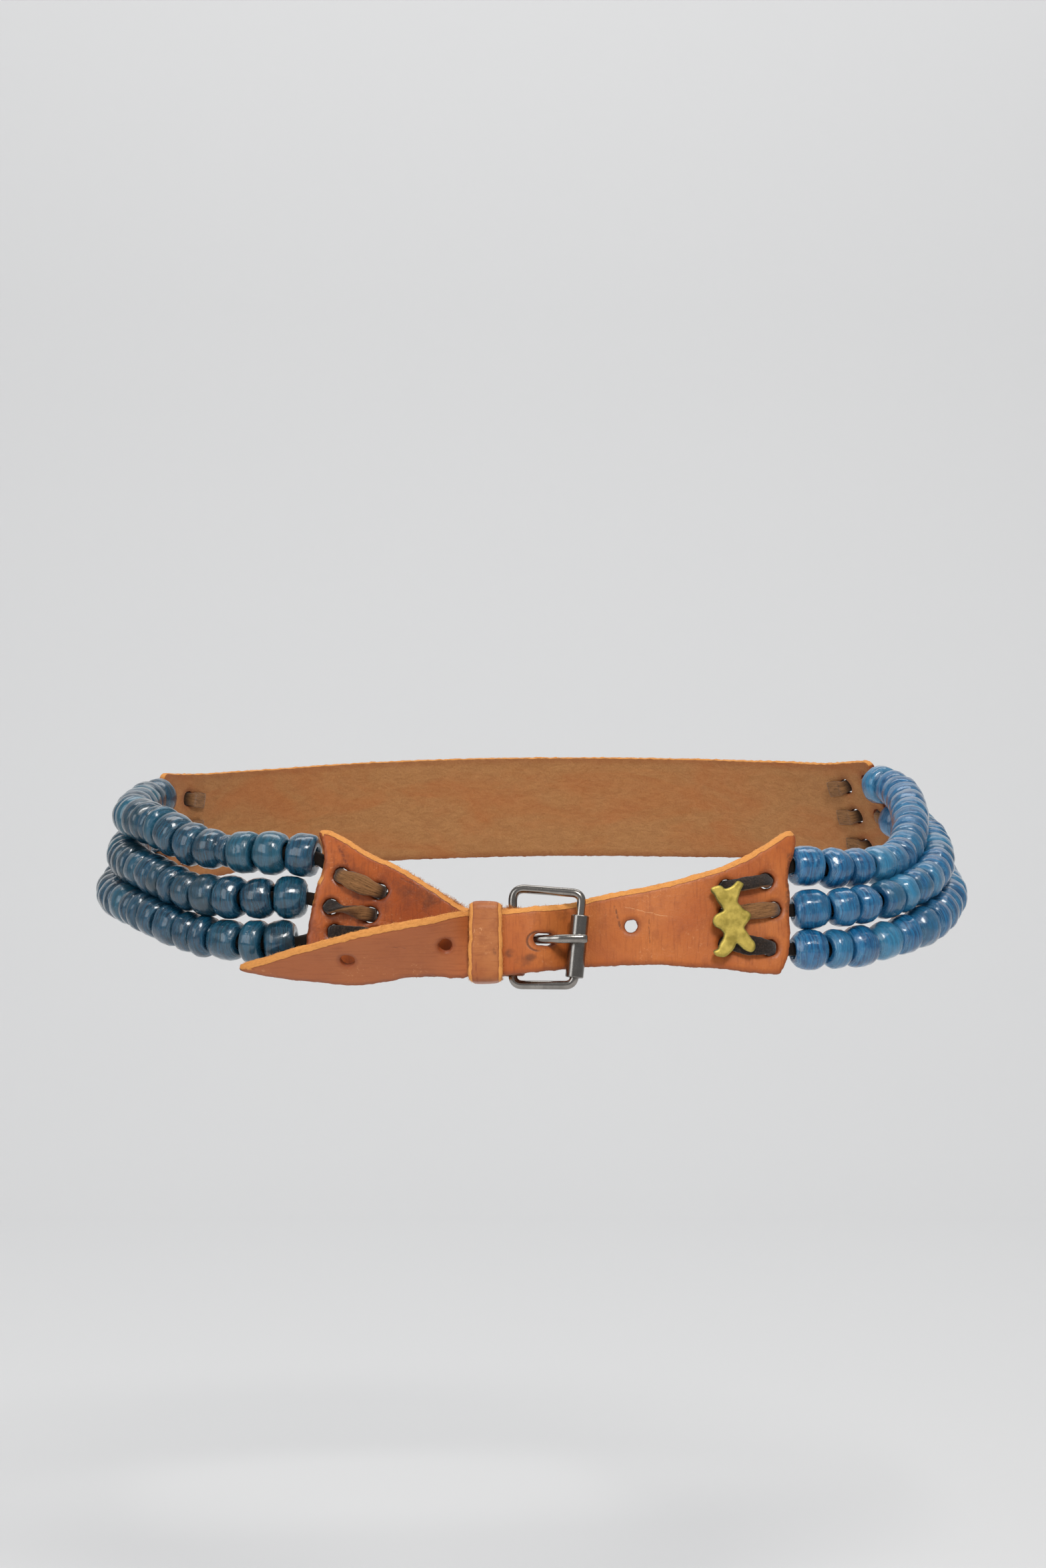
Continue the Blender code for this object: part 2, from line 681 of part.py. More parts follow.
def add_rivet_part(ornament, radius, low, high):
    # A round pin through the leather, joined to the casting
    bm = cut_blank(oval(RIVET_ALONG, RIVET_HEIGHT, radius, radius, 8), [], high - low)
    for vert in bm.verts:
        along, height, through = vert.co
        vert.co = place(along, height, (low + high) / 2 + through)
    pin = add_object("rivet_guide", bm, CAST_BRASS)
    join = ornament.modifiers.new("join", "BOOLEAN")
    join.operation = "UNION"
    join.object = pin
    pin.hide_render = True
    pin.display_type = "WIRE"


def string_route(side, row):
    # Points down the middle of one string of beads, from the tab to the back panel
    start, stop = BEAD_START[side, row], BEAD_END[side]
    behind = LEATHER / 2 + THONG_GAP + THONG_THICKNESS / 2
    route = []
    for along in np.linspace(start, stop, STRING_POINTS):
        from_end = min(abs(along - start), abs(stop - along))
        settled = min(1, from_end / STRING_SETTLES_IN)
        settled = settled * settled * (3 - 2 * settled)
        out = -behind * (1 - settled) + settled * ROW_OUT[row](along)
        route.append(place(along, ROW_HEIGHT[row](along), out))
    return route


def measure_route(route):
    # The distance from its start to each of its points, and the points as an array
    route = np.array([tuple(point) for point in route])
    steps = np.linalg.norm(np.diff(route, axis=0), axis=1)
    return np.concatenate([[0], np.cumsum(steps)]), route


def spot_on(lengths, route, distance):
    return Vector([np.interp(distance, lengths, route[:, i]) for i in range(3)])


def ring_at(lengths, route, distance, radius):
    # A ring of a bead's corners round the route
    step = 2 * MM
    spot = spot_on(lengths, route, distance)
    run = spot_on(lengths, route, distance + step) - spot_on(lengths, route, distance - step)
    side = run.cross(Vector((0, 0, 1))).normalized()
    up = side.cross(run.normalized())
    turns = [math.tau * (i + 0.5) / BEAD_SIDES for i in range(BEAD_SIDES)]
    return [spot + (side * math.cos(a) + up * math.sin(a)) * radius * MM for a in turns]


def loft(bm, rings):
    loops = [[bm.verts.new(point) for point in ring] for ring in rings]
    for near, far in zip(loops, loops[1:]):
        for i in range(len(near)):
            j = (i + 1) % len(near)
            bm.faces.new((near[i], near[j], far[j], far[i]))
    return loops


def rows_beside(row):
    at = ROWS.index(row)
    return [near for i, near in enumerate(ROWS) if abs(i - at) == 1]


def make_strand(side, row):
    pitch, least, largest, seed = BEADS[side]
    random_source = random.Random(seed + ROWS.index(row))
    lengths, route = measure_route(string_route(side, row))
    total = lengths[-1]
    count = round(total / (pitch * MM))
    shares = [random_source.uniform(*BEAD_LENGTH_SPREAD) for _ in range(count)]
    radii = [random_source.uniform(least, largest) for _ in range(count)]
    neighbours = [measure_route(string_route(side, near))[1] for near in rows_beside(row)]
    ends = np.concatenate([[0], np.cumsum(shares)]) / sum(shares) * total
    outer = []
    for low, high, radius in zip(ends, ends[1:], radii):
        shoulder = (high - low) * BEAD_SHOULDER
        middle = spot_on(lengths, route, (low + high) / 2)
        room = min(np.linalg.norm(points - middle, axis=1).min() for points in neighbours) / MM
        radius = min(radius, room / 2 - GAP / 2)
        outer.append(ring_at(lengths, route, low, BEAD_END_RADIUS))
        outer.append(ring_at(lengths, route, low + shoulder, radius))
        outer.append(ring_at(lengths, route, high - shoulder, radius))
    outer.append(ring_at(lengths, route, total, BEAD_END_RADIUS))
    inner_at = np.linspace(0, total, THONG_STEPS + 1)
    inner = [ring_at(lengths, route, at, BEAD_BORE_RADIUS) for at in inner_at]
    bm = bmesh.new()
    skin, bore = loft(bm, outer), loft(bm, inner)
    for end in (0, -1):
        for i in range(BEAD_SIDES):
            j = (i + 1) % BEAD_SIDES
            bm.faces.new((skin[end][i], skin[end][j], bore[end][j], bore[end][i]))
    bmesh.ops.recalc_face_normals(bm, faces=bm.faces)
    return add_object(f"strand_{side}_{row}", bm, BLUE_GLASS)


def thong_through(hole, towards, out_before, out_after):
    # Two points that take a thong through a hole, on its way towards a place
    step = Vector((towards[0] - hole[0], towards[1] - hole[1])).normalized() * THONG_SLANT
    return [
        (hole[0] - step.x, hole[1] - step.y, out_before, THONG_WIDTH_IN_HOLE),
        (hole[0] + step.x, hole[1] + step.y, out_after, THONG_WIDTH_IN_HOLE),
    ]


def thong_end(inner, outer, edge, behind, outside):
    # From its tail behind the leather, out through one hole, in through the next, to the edge
    inner, outer = Vector(inner), Vector(outer)
    run = (inner - outer).normalized()
    tail = [inner + run * THONG_TAIL, inner + run * THONG_TAIL_BEND]
    shown = [inner.lerp(outer, 0.3), inner.lerp(outer, 0.7)]
    points = [(*spot, behind, THONG_WIDTH) for spot in tail]
    points += thong_through(inner, outer, behind, outside)
    points += [(*spot, outside, THONG_WIDTH) for spot in shown]
    points += thong_through(outer, edge, outside, behind)
    return points


def make_lace(side, row):
    outside = LEATHER / 2 + THONG_GAP + THONG_THICKNESS / 2
    start_along, stop_along = BEAD_START[side, row], BEAD_END[side]
    start = (start_along, ROW_HEIGHT[row](start_along))
    stop = (stop_along, ROW_HEIGHT[row](stop_along))
    front = thong_end(*THONG_HOLES[side, row], start, -outside, outside)
    near, far = panel_holes(side, row)
    back = thong_end(far, near, stop, -outside, outside)[::-1]
    frames = [thong_frame(*point) for point in front]
    lengths, route = measure_route(string_route(side, row))
    for share in np.linspace(0, 1, THONG_STEPS + 1):
        spot = spot_on(lengths, route, share * lengths[-1])
        along = start_along + (stop_along - start_along) * share
        frames.append((spot, outward_at(along, ROW_HEIGHT[row](along)), THONG_WIDTH_IN_BEADS))
    frames += [thong_frame(*point) for point in back]
    rings = []
    for i, (spot, normal, width) in enumerate(frames):
        before, after = frames[max(i - 1, 0)][0], frames[min(i + 1, len(frames) - 1)][0]
        run = (after - before).normalized()
        across = normal.cross(run).normalized() * (width / 2 * MM)
        through = run.cross(across).normalized() * (THONG_THICKNESS / 2 * MM)
        rings.append([spot + across + through, spot - across + through,
                      spot - across - through, spot + across - through])
    bm = bmesh.new()
    loops = loft(bm, rings)
    bm.faces.new(loops[0])
    bm.faces.new(loops[-1][::-1])
    bmesh.ops.recalc_face_normals(bm, faces=bm.faces)
    return add_object(f"lace_{side}_{row}", bm, DARK_SUEDE)


def thong_frame(along, height, out, width):
    # A thong's middle, the way that its flat side faces, and its width
    along = panel_along(along)
    return place(along, height, out), outward_at(along, height), width


def main():
    clear_scene()
    make_billet_strap()
    make_buckle_strap()
    make_keeper()
    make_back_panel()
    make_buckle_frame()
    make_roller()
    make_prong()
    make_ornament()
    for side in ("right", "left"):
        for row in ROWS:
            make_strand(side, row)
            make_lace(side, row)


main()
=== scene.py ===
# Beaded belt, worn and buckled: leather tabs, wound glass beads on suede thongs, a roller buckle.
# A place on the belt is (along, height, out) in millimetres, as in the model's own source.

import math
import random

import bpy
import numpy as np
from mathutils import Matrix, Vector, kdtree
from mathutils.geometry import delaunay_2d_cdt


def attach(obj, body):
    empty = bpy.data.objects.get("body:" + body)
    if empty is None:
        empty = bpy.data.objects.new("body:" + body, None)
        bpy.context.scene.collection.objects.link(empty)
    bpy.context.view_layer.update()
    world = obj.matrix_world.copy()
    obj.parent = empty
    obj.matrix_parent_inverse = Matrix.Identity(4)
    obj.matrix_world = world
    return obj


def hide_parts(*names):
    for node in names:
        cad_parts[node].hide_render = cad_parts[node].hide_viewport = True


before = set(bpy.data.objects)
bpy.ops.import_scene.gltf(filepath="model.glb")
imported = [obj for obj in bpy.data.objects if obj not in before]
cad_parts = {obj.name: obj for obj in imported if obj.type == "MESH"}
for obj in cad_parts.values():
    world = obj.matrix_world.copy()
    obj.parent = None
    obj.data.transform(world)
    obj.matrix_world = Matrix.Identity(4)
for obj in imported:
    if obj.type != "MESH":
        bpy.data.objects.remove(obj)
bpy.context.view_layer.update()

mm = 0.001
print("frame loaded:", len(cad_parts), "nodes")


# the form that the belt is bent round

hips = {
    "halfWidth": 146.0,
    "halfFront": 110.0,
    "halfBack": 112.0,
    "centreX": 3.0,
    "widerPerMm": 0.27,
    "deeperPerMm": 0.11,
    "shiftPerMm": 0.15,
    "squareFront": 2.7,
    "squareBack": 2.2,
    "roundMm": 840.0,
    # in front a place slides along for each mm above the middle row, so upright edges stay upright
    "slides": ((-150, 0.0), (-105, 0.01), (-80, 0.05), (-50, 0.10), (0, 0.15), (50, 0.205), (80, 0.26),
               (92, 0.29), (110, 0.20), (130, 0.10), (150, 0.03), (175, 0.0)),
}

rowNames = ("top", "middle", "bottom")

rowHeights = (
    # along, top, middle, bottom
    (-246, 26.0, 12.5, -1.0),
    (-218, 22.5, 8.8, -6.0),
    (-200, 20.3, 6.3, -8.6),
    (-182, 18.6, 3.6, -10.6),
    (-162, 17.2, 1.0, -12.6),
    (-142, 14.3, -2.3, -16.4),
    (-122, 8.8, -7.4, -21.4),
    (-100, 6.6, -9.0, -23.8),
    (-75, 5.2, -8.8, -23.4),
    (-52, -6.4, -14.2, -21.2),
    (-10, -14.5, -22.5, -30.5),
    (33, -12.0, -18.8, -26.0),
    (66, -5.2, -14.6, -23.8),
    (91, 2.3, -12.6, -25.9),
    (110, 1.2, -12.6, -26.0),
    (128, 1.8, -10.6, -23.5),
    (146, 3.8, -6.8, -19.6),
    (164, 8.0, -2.4, -15.0),
    (182, 13.6, 3.0, -10.4),
    (200, 19.2, 7.4, -6.6),
    (218, 23.3, 11.0, -3.0),
    (238, 27.8, 14.6, 0.8),
    (258, 31.0, 17.5, 4.0),
    (279, 29.4, 17.8, 6.2),
    (340, 28.0, 19.5, 11.0),
    (420, 28.5, 20.5, 12.0),
    (500, 26.0, 18.0, 9.0),
    (573, 24.4, 13.2, 2.0),
    (594, 26.0, 12.5, -1.0),
)

rowOuts = (
    # along, top, middle, bottom
    (-246, 0.0, 0.5, 1.0),
    (-218, -0.5, 0.5, 3.0),
    (-182, 0.5, 1.0, 2.5),
    (-142, -0.5, 0.5, 0.5),
    (-100, 0.0, 1.0, 0.0),
    (-75, 0.0, 0.0, 0.0),
    (91, 0.0, 0.0, 0.0),
    (110, -1.0, 2.0, -1.0),
    (128, -1.5, 2.0, -1.0),
    (146, -3.0, 2.5, 0.0),
    (164, -4.0, 2.5, 0.0),
    (182, -4.0, 1.5, 0.0),
    (200, -3.0, 0.5, -1.0),
    (218, -2.0, 0.0, -1.5),
    (258, 0.0, 0.0, -0.5),
)


def smoothColumn(rows, column):
    # a cubic through the rows; the slope at each is the mean of its two sides
    at = np.array([row[0] for row in rows], float)
    value = np.array([row[column] for row in rows], float)
    span = np.diff(at)
    rise = np.diff(value) / span
    slope = np.empty_like(value)
    slope[0], slope[-1] = rise[0], rise[-1]
    slope[1:-1] = (rise[:-1] * span[1:] + rise[1:] * span[:-1]) / (span[:-1] + span[1:])

    def read(position):
        position = np.clip(position, at[0], at[-1])
        i = np.minimum(np.searchsorted(at, position, side="right") - 1, len(span) - 1)
        t = (position - at[i]) / span[i]
        blend = t * t * (3 - 2 * t)
        held = value[i] * (1 - blend) + value[i + 1] * blend
        return held + span[i] * (slope[i] * t * (1 - t) ** 2 - slope[i + 1] * t * t * (1 - t))

    return read


rowHeight = {row: smoothColumn(rowHeights, i + 1) for i, row in enumerate(rowNames)}
rowOut = {row: smoothColumn(rowOuts, i + 1) for i, row in enumerate(rowNames)}


def lengthsAlong(points):
    # how far along a path each of its points lies
    return np.concatenate([[0], np.cumsum(np.linalg.norm(np.diff(points, axis=0), axis=1))])


def hipPoint(angle, level):
    # the form at an angle from the front, level millimetres above its middle row
    front = np.cos(angle) > 0
    halfWidth = hips["halfWidth"] - hips["widerPerMm"] * level
    halfDepth = np.where(front, hips["halfFront"], hips["halfBack"]) - hips["deeperPerMm"] * level
    power = np.where(front, hips["squareFront"], hips["squareBack"])
    across = np.abs(np.sin(angle) / halfWidth) ** power
    deep = np.abs(np.cos(angle) / halfDepth) ** power
    radius = (across + deep) ** (-1 / power)
    centreX = hips["centreX"] - hips["shiftPerMm"] * level
    return np.stack([centreX + radius * np.sin(angle), -radius * np.cos(angle)], -1)


def measureHips():
    angles = np.radians(np.arange(-180, 361, 0.5))
    along = lengthsAlong(hipPoint(angles, 0.0))
    return angles, along - np.interp(0, angles, along)


hipAngles, hipAlongs = measureHips()
uprightSlide = smoothColumn(hips["slides"], 1)


def formSpot(along, height):
    # the angle and the level on the form of a place on the belt
    along = along + uprightSlide(along) * (height - rowHeight["middle"](along))
    return np.interp(along, hipAlongs, hipAngles), height - rowHeight["middle"](along)


def unit(vectors):
    return vectors / np.maximum(np.linalg.norm(vectors, axis=-1, keepdims=True), 1e-12)


def outwardAt(along, height):
    # the way that the belt's face looks, away from the body
    along, height = np.broadcast_arrays(np.asarray(along, float), np.asarray(height, float))
    angle, level = formSpot(along, height)
    here = hipPoint(angle, level)
    aside = hipPoint(angle + 0.01, level) - here
    above = hipPoint(angle, level + 1.0) - here
    tangent = np.concatenate([aside, np.zeros(aside.shape[:-1] + (1,))], -1)
    up = np.concatenate([above, np.ones(above.shape[:-1] + (1,))], -1)
    return unit(np.cross(tangent, up))


def place(along, height, out=0.0):
    # belt places to metres in the frame
    along, height, out = np.broadcast_arrays(*(np.asarray(v, float) for v in (along, height, out)))
    angle, level = formSpot(along, height)
    here = np.concatenate([hipPoint(angle, level), height[..., None]], -1)
    return (here + outwardAt(along, height) * out[..., None]) * mm


def ripple(x, y, size, seed, waves=7):
    # a smooth random surface between about -1 and 1, with bumps of that size
    source = random.Random(seed)
    total = np.zeros_like(np.asarray(x, float) + np.asarray(y, float))
    for _ in range(waves):
        turn, shift = source.uniform(0, math.tau), source.uniform(0, math.tau)
        pitch = math.tau / (size * source.uniform(0.7, 1.6))
        total += np.sin((x * math.cos(turn) + y * math.sin(turn)) * pitch + shift)
    return total / math.sqrt(waves * 2)


print("hip form ready")


# nodes: a socket that takes part in expressions, and one way to add any node

class Field:
    def __init__(self, tree, socket):
        self.tree = tree
        self.socket = socket

    def other(self, name):
        return Field(self.tree, self.socket.node.outputs[name])

    def math(self, operation, *others):
        return self.tree.add("ShaderNodeMath", {"operation": operation}, [self, *others])

    def between(self, low, high):
        # 0 below low and 1 above high, with a soft step between
        values = {"Value": self, "From Min": low, "From Max": high}
        return self.tree.add("ShaderNodeMapRange", {"interpolation_type": "SMOOTHSTEP"}, values)

    def __add__(self, other):
        return self.math("ADD", other)

    def __sub__(self, other):
        return self.math("SUBTRACT", other)

    def reflected(self, operation, other):
        return self.tree.add("ShaderNodeMath", {"operation": operation}, [other, self])

    def __rsub__(self, other):
        return self.reflected("SUBTRACT", other)

    def __rtruediv__(self, other):
        return self.reflected("DIVIDE", other)

    def __rpow__(self, other):
        return self.reflected("POWER", other)

    def __neg__(self):
        return self.math("MULTIPLY", -1.0)

    def __mul__(self, other):
        return self.math("MULTIPLY", other)

    def __truediv__(self, other):
        return self.math("DIVIDE", other)

    def __pow__(self, other):
        return self.math("POWER", other)

    def __abs__(self):
        return self.math("ABSOLUTE")

    __radd__ = __add__
    __rmul__ = __mul__


class Tree:
    def __init__(self, tree):
        self.tree = tree

    def add(self, kind, settings=None, values=None, output=0):
        # settings first, because they decide which sockets there are
        node = self.tree.nodes.new(kind)
        for name, value in (settings or {}).items():
            setattr(node, name, value)
        pairs = values.items() if isinstance(values, dict) else enumerate(values or [])
        for name, value in pairs:
            self.feed(node.inputs[name], value)
        return Field(self, node.outputs[output]) if node.outputs else node

    def feed(self, socket, value):
        if isinstance(value, Field):
            self.tree.links.new(value.socket, socket)
        else:
            socket.default_value = value

    def mix(self, share, a, b, blend="MIX"):
        settings = {"data_type": "RGBA", "blend_type": blend}
        return self.add("ShaderNodeMix", settings, {0: share, 6: a, 7: b}, 2)

    def vector(self, operation, *values, output=0):
        return self.add("ShaderNodeVectorMath", {"operation": operation}, list(values), output)

    def scaled(self, vector, factor):
        return self.add("ShaderNodeVectorMath", {"operation": "SCALE"}, {0: vector, "Scale": factor})

    def combine(self, x, y, z):
        return self.add("ShaderNodeCombineXYZ", None, [x, y, z])

    def separate(self, vector):
        x = self.add("ShaderNodeSeparateXYZ", None, [vector])
        return x, x.other("Y"), x.other("Z")


def srgb(red, green, blue):
    return tuple(((c / 255 + 0.055) / 1.055) ** 2.4 for c in (red, green, blue)) + (1.0,)


class Finish(Tree):
    # a material with one Principled shader and the textures that feed it
    def __init__(self, name):
        self.material = bpy.data.materials.new(name)
        self.material.use_nodes = True
        super().__init__(self.material.node_tree)
        self.shader = self.tree.nodes["Principled BSDF"]

    def object(self):
        return self.add("ShaderNodeTexCoord", output="Object")

    def attribute(self, name, output="Fac"):
        return self.add("ShaderNodeAttribute", {"attribute_name": name}, None, output)

    def noise(self, vector, scale, detail=3.0, rough=0.5, distort=0.0):
        values = {"Vector": vector, "Scale": scale, "Detail": detail, "Roughness": rough,
                  "Distortion": distort}
        return self.add("ShaderNodeTexNoise", None, values)

    def cells(self, vector, scale, feature="F1", output="Distance"):
        values = {"Vector": vector, "Scale": scale}
        return self.add("ShaderNodeTexVoronoi", {"feature": feature}, values, output)

    def stretch(self, vector, x, y, z):
        return self.vector("MULTIPLY", vector, (x, y, z))

    def bump(self, height, distance, under=None, strength=1.0):
        values = {"Height": height, "Distance": distance * mm, "Strength": strength}
        if under is not None:
            values["Normal"] = under
        return self.add("ShaderNodeBump", None, values)

    def set(self, **values):
        names = {"colour": "Base Color", "roughness": "Roughness", "metallic": "Metallic", "normal": "Normal",
                 "coat": "Coat Weight", "coatRoughness": "Coat Roughness", "sheen": "Sheen Weight",
                 "sheenRoughness": "Sheen Roughness", "specular": "Specular IOR Level"}
        for name, value in values.items():
            self.feed(self.shader.inputs[names[name]], value)
        return self.material


# leather

leather = {
    "face": srgb(177, 90, 37),
    "dark": srgb(130, 58, 22),
    "light": srgb(194, 110, 50),
    "cut": srgb(232, 158, 82),
    "cutDark": srgb(176, 100, 44),
    "flesh": srgb(186, 132, 80),
    "fleshDark": srgb(150, 98, 54),
    "stain": srgb(74, 42, 26),
    "scratch": srgb(228, 166, 114),
    "roughness": 0.46,
    "mottle": 0.35,
    "scuffs": 0.35,
    "burnish": 0.45,
    "creases": 0.06,
    "hangsBefore": None,
    "lines": (),
    "spots": (),
    "rings": (),
}


def lineMask(along, height, start, end, halfWidth, soft=0.6):
    # 1 on a straight mark between two places on the flat leather, 0 away from it
    runAlong, runHeight = end[0] - start[0], end[1] - start[1]
    length = math.hypot(runAlong, runHeight)
    runAlong, runHeight = runAlong / length, runHeight / length
    down = (along - start[0]) * runAlong + (height - start[1]) * runHeight
    aside = (along - start[0]) * -runHeight + (height - start[1]) * runAlong
    inside = down.between(-soft, soft) * (1 - down.between(length - soft, length + soft))
    return inside * (1 - abs(aside).between(halfWidth * 0.4, halfWidth * 1.6))


def spotMask(finish, along, height, centre, radius, flat=1.0):
    away = finish.combine((along - centre[0]) / flat, height - centre[1], 0.0)
    return 1 - finish.vector("LENGTH", away, output="Value").between(radius * 0.35, radius)


def leatherFinish(name, look, bevel):
    # lines: start, end, half width, colour name, strength; spots and rings: centre, radius, strength
    look = {**leather, **look}
    f = Finish(name)
    flat = f.attribute("flat", "Vector")
    cutEdge, rim = f.attribute("cut"), f.attribute("rim")
    along, height, through = (part * 1000 for part in f.separate(flat))
    cloud = f.noise(flat, 34, 4, 0.55)
    mottle = f.noise(flat, 230, 4, 0.62)
    fleck = f.noise(flat, 1500, 2, 0.6)
    streak = f.noise(f.stretch(flat, 1.0, 0.10, 1.0), 1500, 4, 0.62, 0.2)
    colour = f.mix(cloud.between(0.3, 0.7), look["face"], look["light"])
    colour = f.mix(mottle.between(0.42, 0.74) * look["mottle"], colour, look["dark"])
    if look["hangsBefore"] is not None:
        # the loose end faces downward: its grain runs lengthwise, and it is painted duller as painted shade
        hangs = 1 - along.between(look["hangsBefore"], look["hangsBefore"] + 12)
        lengthwise = f.noise(f.stretch(flat, 0.06, 1.0, 1.0), 1500, 4, 0.62, 0.5)
        streak = streak * (1 - hangs) + lengthwise * hangs
        colour = f.mix(hangs * 0.7, colour, look["shadedBelow"])
    colour = f.mix(streak.between(0.48, 0.72) * 0.34, colour, look["dark"])
    colour = f.mix(fleck.between(0.6, 0.8) * 0.3, colour, look["light"])
    rough = look["roughness"] + (cloud - 0.5) * 0.2 + (mottle - 0.5) * 0.25
    # wrinkles as a fine net, and pale speckled scuffs
    bent = f.vector("ADD", flat, f.stretch(f.noise(flat, 300, 2), 0.004, 0.004, 0.004))
    net = f.cells(bent, 150, "DISTANCE_TO_EDGE")
    crease = (1 - net.between(0.0, 0.05)) * f.noise(flat, 55, 2).between(0.42, 0.62) * look["creases"]
    colour = f.mix(crease, colour, look["dark"])
    scuff = f.noise(flat, 800, 3, 0.7).between(0.56, 0.68)
    scuff = scuff * f.noise(flat, 70, 3).between(0.5, 0.66) * look["scuffs"]
    colour = f.mix(scuff, colour, look["scratch"])
    # rubbed dark and smooth beside the edges and the holes
    worn = (1 - rim.between(0.1, 1.5)) * look["burnish"]
    colour = f.mix(worn, colour, look["dark"])
    rough = rough + scuff * 0.25 - worn * 0.05
    pores = f.cells(flat, 1700)
    dents = streak * 0.5 + pores * 0.35 + mottle * 0.7 - crease * 1.2 - scuff * 0.4
    for start, end, halfWidth, shade, strength in look["lines"]:
        wander = (f.noise(flat, 420, 2) - 0.5) * 0.9
        mask = lineMask(along + wander, height + wander, start, end, halfWidth)
        mask = mask * f.noise(flat, 900, 2).between(0.3, 0.6) * strength
        colour = f.mix(mask, colour, look[shade])
        rough = rough + mask * 0.2
        dents = dents - mask * 0.9
    for centre, radius, strength in look["spots"]:
        mask = spotMask(f, along, height, centre, radius, 1.3) * mottle.between(0.3, 0.6) * strength
        colour = f.mix(mask, colour, look["stain"])
    for centre, radius, strength in look["rings"]:
        near = f.vector("LENGTH", f.combine(along - centre[0], height - centre[1], 0.0), output="Value")
        innerHalf = 1 - along.between(centre[0] - 1, centre[0] + 1.5)
        mask = (1 - abs(near - radius).between(0.1, 0.55)) * innerHalf * strength
        colour = f.mix(mask, colour, look["stain"])
        dents = dents - mask * 1.6
    # the flesh side behind, and the raw cut edge
    nap = f.noise(flat, 1500, 4, 0.72)
    fibre = f.noise(f.stretch(flat, 0.4, 1.0, 1.0), 380, 5, 0.75, 1.5)
    pull = f.noise(f.stretch(flat, 0.4, 1.0, 1.0), 60, 4, 0.6, 0.8)
    flesh = nap.between(0.2, 0.8) * 0.5 + fibre.between(0.3, 0.7) * 0.5
    flesh = f.mix(flesh, look["fleshDark"], look["flesh"])
    flesh = f.mix(pull.between(0.4, 0.72) * 0.35, flesh, look["face"])
    flesh = f.mix((1 - rim.between(0.2, 3.0)) * 0.35, flesh, look["dark"])
    layers = f.noise(f.stretch(flat, 0.4, 0.4, 2.4), 1500, 4, 0.72)
    raw = f.mix(layers.between(0.1, 0.6), look["cutDark"], look["cut"])
    raw = f.mix(nap.between(0.35, 0.7) * 0.5, raw, look["cut"])
    pale = f.attribute("pale")
    raw = f.mix(pale.between(0.15, 0.7), f.mix(layers * 0.5, look["dark"], look["face"]), raw)
    back = 1 - through.between(-0.45, -0.2) if look.get("thin") else 1 - through.between(-0.9, -0.5)
    colour = f.mix(back, colour, flesh)
    width = bevel + (f.noise(flat, 420, 3) - 0.5) * 0.7
    strip = (1 - rim.between(width - 0.1, width + 0.1)) * pale.between(0.35, 0.7) * (1 - back)
    line = (1 - abs(rim - width - 0.15).between(0.0, 0.25)) * pale.between(0.35, 0.7) * (1 - back)
    colour = f.mix(line * 0.45, colour, look["dark"])
    bare = cutEdge.between(0.3, 0.7).math("MAXIMUM", strip)
    colour = f.mix(bare, colour, raw)
    soft = (back + bare * (0.2 + pale * 0.8)).math("MINIMUM", 1.0)
    rough = (rough + soft * 0.4).math("MINIMUM", 0.95)
    surface = f.bump(dents, 0.16, strength=0.6)
    surface = f.bump((nap + fibre * 0.6) * soft, 0.35, surface, 0.8)
    return f.set(colour=colour, roughness=rough, normal=surface, specular=0.42,
                 sheen=0.04, sheenRoughness=0.5)


cut = {
    "thickness": 2.4,
    "grid": 1.15,
    "edgeStep": 0.55,
    "edgeRound": 0.4,
    "edgeRows": 7,
    "edgeRough": 0.09,
    "cornerTurns": 10,
    "holeSides": 30,
    "holeDish": 0.3,
    "wave": 0.22,
    "waveSize": 26.0,
    "wander": 0.10,
    # how steeply an upper edge slants, and how far round a hole the face is dished
    "slope": 0.55,
    "dishReach": 1.8,
}


def evenRing(points, step):
    # a closed outline with its points evenly spaced
    points = np.asarray(points, float)
    closed = np.vstack([points, points[:1]])
    lengths = lengthsAlong(closed)
    count = max(8, int(lengths[-1] / step))
    at = np.linspace(0, lengths[-1], count, endpoint=False)
    return np.stack([np.interp(at, lengths, closed[:, i]) for i in range(2)], 1)


def eased(ring, turns):
    for _ in range(turns):
        ring = ring / 2 + (np.roll(ring, 1, 0) + np.roll(ring, -1, 0)) / 4
    return ring


def ringArea(ring):
    ahead = np.roll(ring, -1, 0)
    return float(np.sum(ring[:, 0] * ahead[:, 1] - ahead[:, 0] * ring[:, 1]) / 2)


def ringNormals(ring):
    # out of the leather, for an outline that runs anticlockwise and holes that run clockwise
    run = unit(np.roll(ring, -1, 0) - np.roll(ring, 1, 0))
    return np.stack([run[:, 1], -run[:, 0]], 1)


def insideRing(points, ring):
    x, y = points[:, 0], points[:, 1]
    inside = np.zeros(len(points), bool)
    for (ax, ay), (bx, by) in zip(ring, np.roll(ring, -1, 0)):
        crosses = (ay > y) != (by > y)
        if crosses.any():
            meet = ax + (y - ay) * (bx - ax) / (by - ay if by != ay else 1e-12)
            inside ^= crosses & (x < meet)
    return inside


def edgeShares(ring, normal, frays, bothWays):
    # how pale and how frayed a cut edge is: most so above, rubbed smooth and dark elsewhere
    above, below = np.clip(normal[:, 1] * 1.6, 0, 1), np.clip(normal[:, 1] * -1.6, 0, 1)
    fray = np.interp(ring[:, 0], *np.transpose(frays))
    if bothWays:
        return np.maximum(above, below), fray * np.maximum(above, below)
    return above + 0.25 * below, fray * (above + 0.2 * below)


def insideRings(points, rings):
    # within the first ring and outside the others
    found = insideRing(points, rings[0])
    for ring in rings[1:]:
        found &= ~insideRing(points, ring)
    return found


